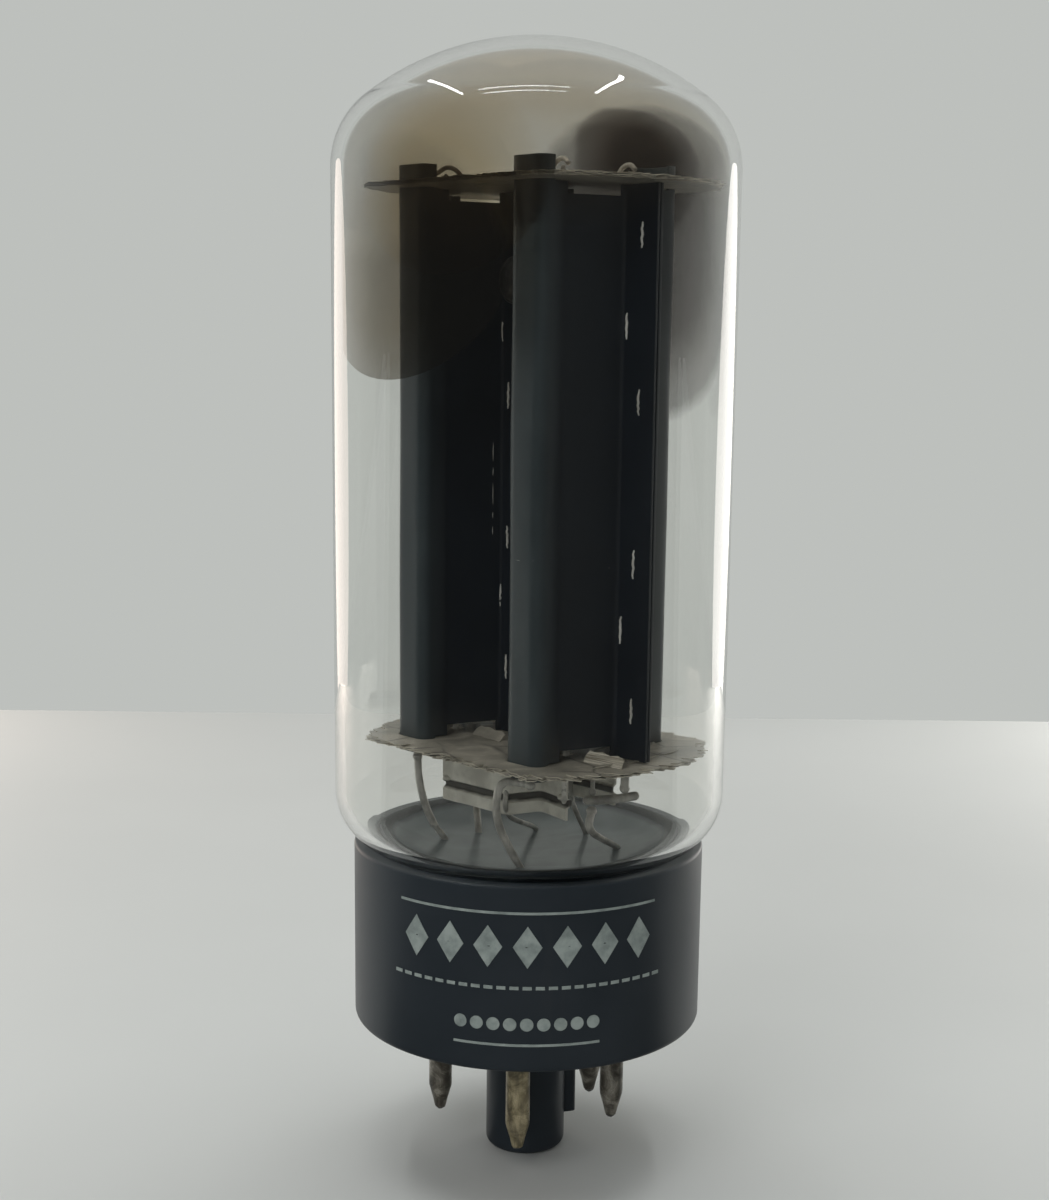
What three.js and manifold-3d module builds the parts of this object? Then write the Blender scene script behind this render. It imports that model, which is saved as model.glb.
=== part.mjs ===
// Full-wave rectifier vacuum tube: a straight-sided T-12 glass bulb on an octal base.
// Millimetres, +Z up, origin at the centre of the locating plug's tip, locating key along +X.
// The two anodes stand side by side between two mica plates, in a frame of their own whose
// x axis runs from anode a to anode b; the whole electrode mount is turned about Z in the bulb.
import * as THREE from "three";
import { mergeVertices } from "three/addons/utils/BufferGeometryUtils.js";
import Module from "manifold-3d";

const wasm = await Module();
wasm.setup();

// ---- driving dimensions ----
const GAP = 0.1; // between pieces that touch
const PLUG_R = 3.96;
const PLUG_LENGTH = 14.2;
const PLUG_WALL = 1.0;
const KEY_R = 5.1;
const KEY_WIDTH = 2.3;
const KEY_BOTTOM_Z = 3.0;
const PIN_R = 1.18;
const PIN_CIRCLE_R = 17.45 / 2;
const PIN_LENGTH = 11.1;
const PIN_BORE_R = 0.75;
const PIN_TOP_Z = 18.2;
const PIN_STEP = 45;
const PIN_NUMBERS = [1, 2, 4, 6, 8];
const BASE_R = 17.2;
const BASE_WALL = 1.6;
const BASE_FLOOR = 2.2;
const BASE_EDGE_R = 0.75;
const BASE_RIM_R = 0.25;
const BASE_TOP_Z = 32.1;
const PLUG_TIP_R = 0.8;
const PIN_TIP_R = 0.78;
const PIN_MOUTH_R = 0.5;
const SOLDER_R = 0.42;
const CEMENT_BELOW_RIM = 1.1;

const BULB_R = 19.05;
const BULB_WALL = 1.0;
const BULB_TOP_Z = 107.8;
const CAP_R = 26;
const SHOULDER_R = 8;
const CORNER_R = 6;
const CORNER_Z = 37.4;
const CORNER_SWEEP = 66;
const NECK_R = 14.8;
const NECK_BOTTOM_Z = 27;
const STEM_R = NECK_R - BULB_WALL - GAP;
const STEM_TOP_Z = 30.2;
const STEM_THICKNESS = 2.8;
const EXHAUST_R = 2.2;
const EXHAUST_WALL = 0.7;
const EXHAUST_TIP_Z = 5.5;
const LEAD_CIRCLE_R = 8.9;

const MOUNT_TURN = -63.5;
const MICA_THICKNESS = 0.4;
const LOWER_MICA_Z = 41.9;
const UPPER_MICA_Z = 94.3;
const MICA_R = 17.0;
const MICA_SHIFT = 0.8; // towards anode b, where the mica bears on the glass
const MICA_HALF_WIDTH = 12.4;

const SHEET = 0.3;
const ANODE_OFFSET = 7.8;
const NOSE_Q = 8.8;
const NOSE_HALF_WIDTH = 1.95;
const NOSE_CORNER_R = 0.9;
const NOSE_ROOT_Q = 5.9;
const WEB_ROOT_P = 3.7;
const OUTER_FLANGE_P = 7.6;
const INNER_FLANGE_P = 6.2;
const FLANGE_Q = 0.2;
const NOTCH_HEIGHT = 1.0;
const NOTCH_HALF_WIDTH = 1.3;
const NOTCH_INSET = 0.4; // from the web's root to the middle of its notch
const NOTCH_NEAR_Q = 0.8;
const TAB_Q = 7.4;
const TAB_ABOVE = 1.7;
const TAB_BELOW = 1.1;

const HOOK_Q = 4.3;
const LEG_SPREAD = 1.55;
const RIBBON_WIDTH = 0.7;
const RIBBON_THICKNESS = 0.25;
const RIBBON_TOP_Z = 90.5;
const STRAP_HEIGHT = 5.0;
const CROSS_ROD_Z = 38.6;
const CROSS_ROD_FAR_P = 11.4;
const CROSS_ROD_Q = 3.0;
const GETTER_Z = 86;
const GETTER_R = 2.2;
const GETTER_Q = 1.7;
const GETTER_DEPTH = 1.0;
const WIRE_HOLE_R = 0.5;
const STRAP_Q = 5.0; // where the long arm of a strap stands
const STRAP_PATH = [point(-6.6, -5.4), point(2.15, -STRAP_Q), point(3.35, -1.6), point(7.5, -2.3)];
const LINK_NEAR_Q = 4.5;
const LINK_FAR_Q = 0.7;
const LINK_DROP = 3.2;
const SUPPORT_P = 4.9; // from the anode's middle out to its support rod
const THICK_WIRE_R = 0.42;
const WIRE_R = 0.3;
const THIN_WIRE_R = 0.22;

const BASE_SIDES = 48;
const BULB_SIDES = 40;
const STEM_SIDES = 32;
const PIN_SIDES = 16;
const WIRE_SIDES = 6;
const HOLE_SIDES = 10;

const FRONT = -1;
const REAR = 1;
const ANODE_A = -1;
const ANODE_B = 1;

// ---- materials ----
function finish(color, roughness, metalness, opacity = 1) {
  return () =>
    new THREE.MeshStandardMaterial({
      color,
      roughness,
      metalness,
      opacity,
      transparent: opacity < 1,
    });
}

const glass = finish(0xe8eef0, 0.05, 0, 0.25);
const phenolic = finish(0x17191b, 0.45, 0);
const cement = finish(0x3a2c20, 0.8, 0);
const plated = finish(0x8d8a80, 0.4, 0.9);
const solder = finish(0xb4b2a8, 0.35, 0.9);
const mica = finish(0x857d70, 0.6, 0);
const carbonised = finish(0x14171c, 0.5, 0.6);
const oxide = finish(0xdedbd2, 0.9, 0);
const nickel = finish(0x9a9a96, 0.35, 0.9);
const copper = finish(0x9c5a3c, 0.4, 0.9);

// ---- shape helpers ----
function radians(degrees) {
  return THREE.MathUtils.degToRad(degrees);
}

function point(x, y) {
  return new THREE.Vector2(x, y);
}

// Points of a circular arc from one angle to another, in degrees, both ends included.
function arc(x, y, r, from, to, steps) {
  return Array.from({ length: steps + 1 }, (_, i) => {
    const a = radians(from + ((to - from) * i) / steps);
    return point(x + r * Math.cos(a), y + r * Math.sin(a));
  });
}

// A solid of revolution about Z from a profile of (radius, height) points that rises outside.
function turned(profile, sides) {
  return new THREE.LatheGeometry(profile, sides).rotateX(Math.PI / 2);
}

// A flat outline raised from one height to another.
function raised(outline, from, to) {
  const geometry = new THREE.ExtrudeGeometry(new THREE.Shape(outline), {
    depth: to - from,
    bevelEnabled: false,
  });
  return geometry.translate(0, 0, from);
}

// The outline of a thin sheet of the given thickness whose middle follows a path.
function sheetOutline(path, thickness) {
  const left = [];
  const right = [];
  path.forEach((here, i) => {
    const before = path[Math.max(i - 1, 0)];
    const after = path[Math.min(i + 1, path.length - 1)];
    const into = here.clone().sub(before).normalize();
    const out = after.clone().sub(here).normalize();
    const along = into.clone().add(out).normalize();
    const lean = along.dot(out.lengthSq() > 0 ? out : into);
    const across = point(-along.y, along.x).multiplyScalar(thickness / 2 / lean);
    left.push(here.clone().add(across));
    right.unshift(here.clone().sub(across));
  });
  const outline = left.concat(right);
  return THREE.ShapeUtils.isClockWise(outline) ? outline.reverse() : outline;
}

// A round wire through points in space.
function wire(points, radius, steps, sides = WIRE_SIDES) {
  const section = new THREE.Shape(arc(0, 0, radius, 0, 360 - 360 / sides, sides - 1));
  return new THREE.ExtrudeGeometry(section, {
    steps,
    bevelEnabled: false,
    extrudePath: new THREE.CatmullRomCurve3(points, false, "centripetal"),
  });
}

function block(low, high) {
  const size = high.clone().sub(low);
  const middle = low.clone().add(high).multiplyScalar(0.5);
  return new THREE.BoxGeometry(size.x, size.y, size.z).translate(middle.x, middle.y, middle.z);
}

function rod(radius, x, y, from, to, sides = PIN_SIDES) {
  const geometry = new THREE.CylinderGeometry(radius, radius, to - from, sides);
  return geometry.rotateX(Math.PI / 2).translate(x, y, (from + to) / 2);
}

function solid(geometry) {
  const plain = geometry.clone();
  plain.deleteAttribute("normal");
  plain.deleteAttribute("uv");
  const merged = mergeVertices(plain, 1e-4);
  return new wasm.Manifold(
    new wasm.Mesh({
      numProp: 3,
      vertProperties: merged.attributes.position.array,
      triVerts: new Uint32Array(merged.index.array),
    }),
  );
}

// The first geometry with the second list joined on and the third list cut away.
function shaped(geometry, joined, cuts) {
  let body = solid(geometry);
  joined.forEach((piece) => {
    body = body.add(solid(piece));
  });
  cuts.forEach((piece) => {
    body = body.subtract(solid(piece));
  });
  const made = body.getMesh();
  const result = new THREE.BufferGeometry();
  result.setAttribute("position", new THREE.BufferAttribute(made.vertProperties, 3));
  result.setIndex(new THREE.BufferAttribute(made.triVerts, 1));
  result.computeVertexNormals();
  return result;
}

const tube = new THREE.Group();
const mount = new THREE.Group();
mount.rotation.z = radians(MOUNT_TURN);
tube.add(mount);

function place(parent, name, geometry, material) {
  const mesh = new THREE.Mesh(geometry, material());
  mesh.name = name;
  parent.add(mesh);
}

// A place given in the electrode mount's frame, in the tube's frame.
function fromMount(p, q, z) {
  return new THREE.Vector3(p, q, z).applyAxisAngle(
    new THREE.Vector3(0, 0, 1),
    radians(MOUNT_TURN),
  );
}

function polar(radius, degrees, z) {
  const a = radians(degrees);
  return new THREE.Vector3(radius * Math.cos(a), radius * Math.sin(a), z);
}

// ---- base ----
// Pins stand half a step from the key and then a step apart, anticlockwise seen from above.
function pinAngle(number) {
  return PIN_STEP * (number - 0.5);
}

function baseShell() {
  const inner = BASE_R - BASE_WALL;
  const floorTop = PLUG_LENGTH + BASE_FLOOR;
  const bore = PLUG_R - PLUG_WALL;
  const plugFloor = PLUG_WALL * 1.3;
  const rimZ = BASE_TOP_Z - BASE_RIM_R;
  const profile = [
    point(0, 0),
    ...arc(PLUG_R - PLUG_TIP_R, PLUG_TIP_R, PLUG_TIP_R, -90, 0, 4),
    point(PLUG_R, PLUG_LENGTH),
    ...arc(BASE_R - BASE_EDGE_R, PLUG_LENGTH + BASE_EDGE_R, BASE_EDGE_R, -90, 0, 4),
    ...arc(BASE_R - BASE_RIM_R, rimZ, BASE_RIM_R, 0, 90, 2),
    ...arc(inner + BASE_RIM_R, rimZ, BASE_RIM_R, 90, 180, 2),
    point(inner, floorTop),
    point(bore, floorTop),
    point(bore, plugFloor),
    point(0, plugFloor),
  ];
  const key = block(
    new THREE.Vector3(bore + GAP, -KEY_WIDTH / 2, KEY_BOTTOM_Z),
    new THREE.Vector3(KEY_R, KEY_WIDTH / 2, PLUG_LENGTH + GAP),
  );
  const holes = PIN_NUMBERS.map((number) => {
    const at = polar(PIN_CIRCLE_R, pinAngle(number), 0);
    return rod(PIN_R + GAP, at.x, at.y, PLUG_LENGTH - 1, floorTop + 1);
  });
  return shaped(turned(profile, BASE_SIDES), [key], holes);
}

function pin() {
  const tipZ = PLUG_LENGTH - PIN_LENGTH;
  const taperZ = tipZ + PIN_LENGTH / 3;
  return turned(
    [
      point(PIN_MOUTH_R, tipZ + 0.1),
      point(PIN_TIP_R - 0.12, tipZ + 0.12),
      point(PIN_TIP_R, tipZ + 0.4),
      point(PIN_R, taperZ),
      point(PIN_R, PIN_TOP_Z),
      point(PIN_BORE_R, PIN_TOP_Z),
      point(PIN_BORE_R, taperZ),
      point(PIN_MOUTH_R, taperZ - 1),
      point(PIN_MOUTH_R, tipZ + 0.1),
    ],
    PIN_SIDES,
  );
}

function pinSolder() {
  const tipZ = PLUG_LENGTH - PIN_LENGTH;
  return turned(
    [
      point(0, tipZ - 0.25),
      point(SOLDER_R - 0.12, tipZ - 0.17),
      point(SOLDER_R + 0.08, tipZ),
      point(SOLDER_R, tipZ + 0.1),
      point(SOLDER_R, tipZ + 1.4),
      point(0, tipZ + 1.6),
    ],
    PIN_SIDES / 2,
  );
}

function baseCement() {
  const inside = NECK_R + GAP;
  const outside = BASE_R - BASE_WALL - GAP;
  return turned(
    [
      point(inside, NECK_BOTTOM_Z - 0.4),
      point(outside, NECK_BOTTOM_Z),
      point(outside, BASE_TOP_Z - CEMENT_BELOW_RIM),
      point(inside, BASE_TOP_Z - CEMENT_BELOW_RIM - 0.5),
      point(inside, NECK_BOTTOM_Z - 0.4),
    ],
    BASE_SIDES,
  );
}

// ---- glass ----
// One skin of the bulb from the top of the dome down to the neck, moved inwards by inset.
function bulbSkin(inset) {
  const shoulderX = BULB_R - SHOULDER_R;
  const rise = Math.sqrt((CAP_R - SHOULDER_R) ** 2 - shoulderX ** 2);
  const capZ = BULB_TOP_Z - CAP_R;
  const meet = THREE.MathUtils.radToDeg(Math.atan2(rise, shoulderX));
  const neckX = NECK_R - inset;
  const sweepEnd = radians(-CORNER_SWEEP);
  const cornerEnd = point(
    BULB_R - CORNER_R + (CORNER_R - inset) * Math.cos(sweepEnd),
    CORNER_Z + (CORNER_R - inset) * Math.sin(sweepEnd),
  );
  return [
    point(0, BULB_TOP_Z - inset),
    ...arc(0, capZ, CAP_R - inset, 90, meet, 4).slice(1),
    ...arc(shoulderX, capZ + rise, SHOULDER_R - inset, meet, 0, 5).slice(1),
    ...arc(BULB_R - CORNER_R, CORNER_Z, CORNER_R - inset, 0, -CORNER_SWEEP, 4),
    point((cornerEnd.x + 2 * neckX) / 3, cornerEnd.y - 0.25),
    point(neckX, cornerEnd.y - 0.9),
  ];
}

function glassBulb() {
  const outside = bulbSkin(0);
  const inside = bulbSkin(BULB_WALL).reverse();
  const lip = arc(NECK_R - BULB_WALL / 2, NECK_BOTTOM_Z, BULB_WALL / 2, 0, -180, 3);
  return turned([...outside, ...lip, ...inside].reverse(), BULB_SIDES);
}

// Where each lead goes through the stem, by the angle from the key.
const LEAD_ANGLES = {
  anode_a: 147,
  anode_b: -112.5,
  filament_1: 67.5,
  filament_2: 30,
  support_a: 108,
  support_b: -22.5,
};

// Which lead each wired pin takes.
const PIN_LEADS = [
  [2, "filament_1"],
  [4, "anode_a"],
  [6, "anode_b"],
  [8, "filament_2"],
];

function leadRadius(name) {
  return name.startsWith("filament") ? WIRE_R : THICK_WIRE_R;
}

function buttonStem() {
  const bottom = STEM_TOP_Z - STEM_THICKNESS;
  const boreR = EXHAUST_R - EXHAUST_WALL;
  const disc = turned(
    [
      point(boreR, bottom),
      point(STEM_R - 0.8, bottom),
      point(STEM_R, bottom + 0.8),
      point(STEM_R, STEM_TOP_Z - 1.2),
      point(STEM_R - 1.6, STEM_TOP_Z - 1.0),
      point(LEAD_CIRCLE_R + 1.6, STEM_TOP_Z - 0.4),
      point(LEAD_CIRCLE_R, STEM_TOP_Z),
      point(LEAD_CIRCLE_R - 1.8, STEM_TOP_Z - 0.5),
      point(boreR + 0.5, STEM_TOP_Z - 0.9),
      point(boreR, STEM_TOP_Z - 1.1),
      point(boreR, bottom),
    ],
    STEM_SIDES,
  );
  const holes = Object.keys(LEAD_ANGLES).map((name) => {
    const at = polar(LEAD_CIRCLE_R, LEAD_ANGLES[name], 0);
    const radius = leadRadius(name) + GAP;
    return rod(radius, at.x, at.y, bottom - 1, STEM_TOP_Z + 1, HOLE_SIDES);
  });
  return shaped(disc, [], holes);
}

function exhaustTip() {
  const top = STEM_TOP_Z - STEM_THICKNESS - GAP;
  const shoulder = EXHAUST_TIP_Z + 3.5;
  const boreR = EXHAUST_R - EXHAUST_WALL;
  return turned(
    [
      point(0, EXHAUST_TIP_Z),
      point(0.45, EXHAUST_TIP_Z + 0.25),
      point(1.1, EXHAUST_TIP_Z + 1.6),
      point(EXHAUST_R, shoulder),
      point(EXHAUST_R, top),
      point(boreR, top),
      point(boreR, shoulder),
      point(0, shoulder - 1.2),
    ],
    PIN_SIDES,
  );
}

// ---- anodes ----
// The sheet's middle line in plan for one half of an anode, nose towards side.
function anodeHalfPath(side, outward) {
  const cornerQ = NOSE_Q - SHEET / 2 - NOSE_CORNER_R;
  const flat = NOSE_HALF_WIDTH - NOSE_CORNER_R;
  const half = [
    ...arc(flat, cornerQ, NOSE_CORNER_R, 90, 0, 3),
    point(NOSE_HALF_WIDTH + 0.05, NOSE_ROOT_Q),
    point(WEB_ROOT_P, FLANGE_Q),
  ];
  const outer = [...half, point(OUTER_FLANGE_P, FLANGE_Q)];
  const inner = [...half, point(INNER_FLANGE_P, FLANGE_Q)];
  const whole = [
    ...outer.reverse(),
    ...inner.map((v) => point(-v.x, v.y)),
  ];
  return whole.map((v) => point(outward * (v.x + ANODE_OFFSET), side * v.y));
}

// A block between two places in each direction, p counted outwards from the anode's middle.
function anodeCut(side, outward, [p1, p2], [q1, q2], [z1, z2]) {
  const ps = [p1, p2].map((p) => outward * (p + ANODE_OFFSET));
  const qs = [side * q1, side * q2];
  return block(
    new THREE.Vector3(Math.min(...ps), Math.min(...qs), z1),
    new THREE.Vector3(Math.max(...ps), Math.max(...qs), z2),
  );
}

function anodeHalf(side, outward) {
  const lowZ = LOWER_MICA_Z + MICA_THICKNESS + GAP;
  const highZ = UPPER_MICA_Z - GAP;
  const tabLowZ = LOWER_MICA_Z - TAB_BELOW;
  const tabHighZ = UPPER_MICA_Z + MICA_THICKNESS + TAB_ABOVE;
  const sheet = raised(sheetOutline(anodeHalfPath(side, outward), SHEET), tabLowZ, tabHighZ);
  const span = OUTER_FLANGE_P + 1;
  const besideTabs = [[tabLowZ - 1, lowZ], [highZ, tabHighZ + 1]];
  const cuts = besideTabs.map((heights) =>
    anodeCut(side, outward, [-span, span], [-1, TAB_Q], heights),
  );
  const notchHeights = [[lowZ - 1, lowZ + NOTCH_HEIGHT], [highZ - NOTCH_HEIGHT, highZ + 1]];
  for (const web of [-1, 1]) {
    const middle = web * (WEB_ROOT_P - NOTCH_INSET);
    const across = [middle - NOTCH_HALF_WIDTH, middle + NOTCH_HALF_WIDTH];
    for (const heights of notchHeights) {
      cuts.push(anodeCut(side, outward, across, [NOTCH_NEAR_Q, NOSE_ROOT_Q - GAP], heights));
    }
  }
  return shaped(sheet, [], cuts);
}

// ---- micas ----
function micaOutline() {
  const reach = Math.sqrt(MICA_R ** 2 - MICA_HALF_WIDTH ** 2);
  const end = THREE.MathUtils.radToDeg(Math.atan2(MICA_HALF_WIDTH, reach));
  return [
    ...arc(MICA_SHIFT, 0, MICA_R, -end, end, 12),
    ...arc(MICA_SHIFT, 0, MICA_R, 180 - end, 180 + end, 12),
  ];
}

function noseSlots(from, to) {
  const slots = [];
  for (const outward of [ANODE_A, ANODE_B]) {
    for (const side of [FRONT, REAR]) {
      const tab = anodeHalfPath(side, outward).filter((v) => Math.abs(v.y) > NOSE_ROOT_Q);
      tab[0].y = side * (TAB_Q - GAP);
      tab[tab.length - 1].y = side * (TAB_Q - GAP);
      slots.push(raised(sheetOutline(tab, SHEET + 2 * GAP), from, to));
    }
  }
  return slots;
}

// The places of the filament legs under each hook, and of the hooks, as [p, q].
function hookPlaces() {
  return [ANODE_A, ANODE_B].flatMap((outward) =>
    [FRONT, REAR].map((side) => [outward * ANODE_OFFSET, side * HOOK_Q]),
  );
}

function lowerMica() {
  const from = LOWER_MICA_Z;
  const to = from + MICA_THICKNESS;
  const legHoles = hookPlaces().flatMap(([p, q]) =>
    [-LEG_SPREAD, LEG_SPREAD].map((spread) =>
      block(
        new THREE.Vector3(p - 0.4, q + spread - 0.7, from - 1),
        new THREE.Vector3(p + 0.4, q + spread + 0.7, to + 1),
      ),
    ),
  );
  const cuts = [...noseSlots(from - 1, to + 1), ...legHoles];
  return shaped(raised(micaOutline(), from, to), [], cuts);
}

function upperMica() {
  const from = UPPER_MICA_Z;
  const to = from + MICA_THICKNESS;
  const hookHoles = hookPlaces().map(([p, q]) =>
    rod(WIRE_HOLE_R, p, q, from - 1, to + 1, HOLE_SIDES),
  );
  const getterHoles = [FRONT, REAR].map((side) =>
    rod(WIRE_HOLE_R, 0, side * GETTER_Q, from - 1, to + 1, HOLE_SIDES),
  );
  const cuts = [...noseSlots(from - 1, to + 1), ...hookHoles, ...getterHoles];
  return shaped(raised(micaOutline(), from, to), [], cuts);
}

// ---- filaments and what holds them ----
// A ribbon in the plane of the anode: up one leg, over the hook and down the other.
function filamentRibbon() {
  const bottom = LOWER_MICA_Z - 0.6;
  const path = [
    point(-LEG_SPREAD, bottom),
    point(-0.55, RIBBON_TOP_Z - 0.5),
    point(0, RIBBON_TOP_Z),
    point(0.55, RIBBON_TOP_Z - 0.5),
    point(LEG_SPREAD, bottom),
  ];
  const outline = sheetOutline(path, RIBBON_WIDTH);
  const geometry = raised(outline, -RIBBON_THICKNESS / 2, RIBBON_THICKNESS / 2);
  return geometry.rotateX(Math.PI / 2).rotateZ(Math.PI / 2);
}

// A wire hook whose eye passes over the ribbon and whose shank rises through the upper mica.
function topHook(p, q) {
  const z = RIBBON_TOP_Z + RIBBON_WIDTH;
  return wire(
    [
      new THREE.Vector3(p - 0.9, q, z - 0.9),
      new THREE.Vector3(p - 0.7, q, z + 0.1),
      new THREE.Vector3(p, q, z + 0.9),
      new THREE.Vector3(p, q, z + 2.5),
      new THREE.Vector3(p, q, UPPER_MICA_Z + MICA_THICKNESS + 0.9),
    ],
    THIN_WIRE_R,
    10,
  );
}

// A bowed wire spring on the upper mica that pulls the hook up.
function tensionSpring(p, q, towards) {
  const floor = UPPER_MICA_Z + MICA_THICKNESS + THIN_WIRE_R + GAP;
  return wire(
    [
      new THREE.Vector3(p + towards * 3.1, q + 0.9, floor),
      new THREE.Vector3(p + towards * 2.4, q + 0.6, floor),
      new THREE.Vector3(p + towards * 1.1, q + 0.2, floor + 1.1),
      new THREE.Vector3(p, q, floor + 1.35),
      new THREE.Vector3(p - towards * 0.9, q - 0.3, floor + 0.9),
    ],
    THIN_WIRE_R,
    12,
  );
}

// A cranked strap on edge under the lower mica that joins a leg of each filament.
function filamentStrap(turn) {
  const top = LOWER_MICA_Z - 0.3;
  const turnedPath = STRAP_PATH.map((v) => point(turn * v.x, turn * v.y));
  return raised(sheetOutline(turnedPath, SHEET), top - STRAP_HEIGHT, top);
}

// A staple under the lower mica that links two filament legs inside one anode.
function filamentLink(turn) {
  const top = LOWER_MICA_Z - THIN_WIRE_R - 2 * GAP;
  const p = turn * (ANODE_OFFSET + 1.5);
  const near = turn * -LINK_NEAR_Q;
  const far = turn * -LINK_FAR_Q;
  const inset = turn * 0.4;
  return wire(
    [
      new THREE.Vector3(p, near, top - LINK_DROP),
      new THREE.Vector3(p, near, top - 0.5),
      new THREE.Vector3(p, near + inset, top),
      new THREE.Vector3(p, far - inset, top),
      new THREE.Vector3(p, far, top - 0.5),
      new THREE.Vector3(p, far, top - LINK_DROP),
    ],
    THIN_WIRE_R,
    18,
  );
}

// ---- getters ----
function getterPan(side) {
  const dish = turned(
    [
      point(0, 0),
      point(GETTER_R, 0),
      point(GETTER_R, GETTER_DEPTH),
      point(GETTER_R - SHEET, GETTER_DEPTH),
      point(GETTER_R - SHEET, SHEET),
      point(0, SHEET),
    ],
    PIN_SIDES,
  );
  return dish.rotateX((-side * Math.PI) / 2).translate(0, side * GETTER_Q, GETTER_Z);
}

function getterWire(side) {
  const q = side * (GETTER_Q - WIRE_R - GAP);
  const top = UPPER_MICA_Z + MICA_THICKNESS;
  return wire(
    [
      new THREE.Vector3(0, q, GETTER_Z - 0.5),
      new THREE.Vector3(0, q, GETTER_Z + 2),
      new THREE.Vector3(0, side * GETTER_Q, GETTER_Z + 5),
      new THREE.Vector3(0, side * GETTER_Q, top + 0.8),
    ],
    WIRE_R,
    8,
  );
}

// ---- leads ----
// Each lead starts under the lower mica and ends in the stem's glass.
function leadPath(name) {
  const foot = polar(LEAD_CIRCLE_R, LEAD_ANGLES[name], 0);
  const under = LOWER_MICA_Z - TAB_BELOW - THICK_WIRE_R - GAP;
  const ends = [
    new THREE.Vector3(foot.x, foot.y, STEM_TOP_Z + 1.5),
    new THREE.Vector3(foot.x, foot.y, STEM_TOP_Z - STEM_THICKNESS / 2 + 0.3),
  ];
  const strapEnd = LOWER_MICA_Z - STRAP_HEIGHT - 0.3;
  const strapFace = STRAP_Q - SHEET - WIRE_R; // where a wire lies against a strap
  const starts = {
    anode_a: [
      fromMount(-ANODE_OFFSET, -NOSE_Q + 1.0, under),
      fromMount(-ANODE_OFFSET - 0.1, -NOSE_Q + 1.3, under - 2.5),
      fromMount(-ANODE_OFFSET - 0.1, -NOSE_Q + 2.2, under - 5.5),
    ],
    anode_b: [
      fromMount(ANODE_OFFSET + 0.4, -NOSE_Q + 1.0, under),
      fromMount(ANODE_OFFSET - 1.7, -NOSE_Q - 0.1, under),
      fromMount(ANODE_OFFSET - 2.4, -NOSE_Q - 0.5, under - 1.3),
      fromMount(ANODE_OFFSET - 2.6, -NOSE_Q - 0.1, under - 4.2),
    ],
    filament_1: [
      fromMount(1.6, -strapFace, strapEnd + 2.5),
      fromMount(1.6, -strapFace, strapEnd),
      fromMount(-0.2, -1.5, strapEnd - 2.2),
    ],
    filament_2: [
      fromMount(1.5, strapFace + GAP, strapEnd + 2.5),
      fromMount(1.5, strapFace + GAP, strapEnd),
      fromMount(1.0, 5.6, strapEnd - 2.5),
    ],
    support_a: [
      fromMount(-CROSS_ROD_FAR_P, CROSS_ROD_Q, CROSS_ROD_Z - 2 * THICK_WIRE_R - GAP),
      fromMount(-CROSS_ROD_FAR_P, CROSS_ROD_Q, CROSS_ROD_Z - 3),
    ],
    support_b: [
      fromMount(CROSS_ROD_FAR_P, -CROSS_ROD_Q, CROSS_ROD_Z - 2 * THICK_WIRE_R - GAP),
      fromMount(CROSS_ROD_FAR_P, -CROSS_ROD_Q, CROSS_ROD_Z - 3),
    ],
  };
  return [...starts[name], ...ends];
}

// An anode's support: a straight rod down from its outer flange to the cross rod.
function supportRod(turn) {
  const top = LOWER_MICA_Z - 2 * GAP;
  const bottom = CROSS_ROD_Z + THICK_WIRE_R + GAP;
  const p = turn * (ANODE_OFFSET + SUPPORT_P);
  return rod(THICK_WIRE_R, p, 0, bottom, top, WIRE_SIDES);
}

// The level rod that ties an anode's support to its lead.
function crossRod(turn) {
  return wire(
    [
      new THREE.Vector3(turn * (ANODE_OFFSET + 5.3), turn * 1.0, CROSS_ROD_Z + 0.05),
      new THREE.Vector3(turn * (CROSS_ROD_FAR_P + 1), turn * -1.6, CROSS_ROD_Z),
      new THREE.Vector3(turn * (CROSS_ROD_FAR_P - 0.2), turn * (-CROSS_ROD_Q - 0.4), CROSS_ROD_Z),
    ],
    THICK_WIRE_R,
    6,
  );
}

// The thin wire from the stem down into a pin.
function pinWire(number, leadName) {
  const from = polar(LEAD_CIRCLE_R, LEAD_ANGLES[leadName], 0);
  const to = polar(PIN_CIRCLE_R, pinAngle(number), 0);
  const start = STEM_TOP_Z - STEM_THICKNESS / 2 - 0.3;
  return wire(
    [
      new THREE.Vector3(from.x, from.y, start),
      new THREE.Vector3(from.x, from.y, start - 2.5),
      new THREE.Vector3(to.x, to.y, PIN_TOP_Z + 1.5),
      new THREE.Vector3(to.x, to.y, PIN_TOP_Z - 1),
      new THREE.Vector3(to.x, to.y, PLUG_LENGTH - PIN_LENGTH + 2.2),
    ],
    THIN_WIRE_R,
    12,
  );
}

// ---- assembly ----
place(tube, "base_shell", baseShell(), phenolic);
place(tube, "base_cement", baseCement(), cement);
for (const number of PIN_NUMBERS) {
  const at = polar(PIN_CIRCLE_R, pinAngle(number), 0);
  place(tube, `pin_${number}`, pin().translate(at.x, at.y, 0), plated);
  place(tube, `pin_solder_${number}`, pinSolder().translate(at.x, at.y, 0), solder);
}
place(tube, "glass_bulb", glassBulb(), glass);
place(tube, "button_stem", buttonStem(), glass);
place(tube, "exhaust_tip", exhaustTip(), glass);

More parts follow.
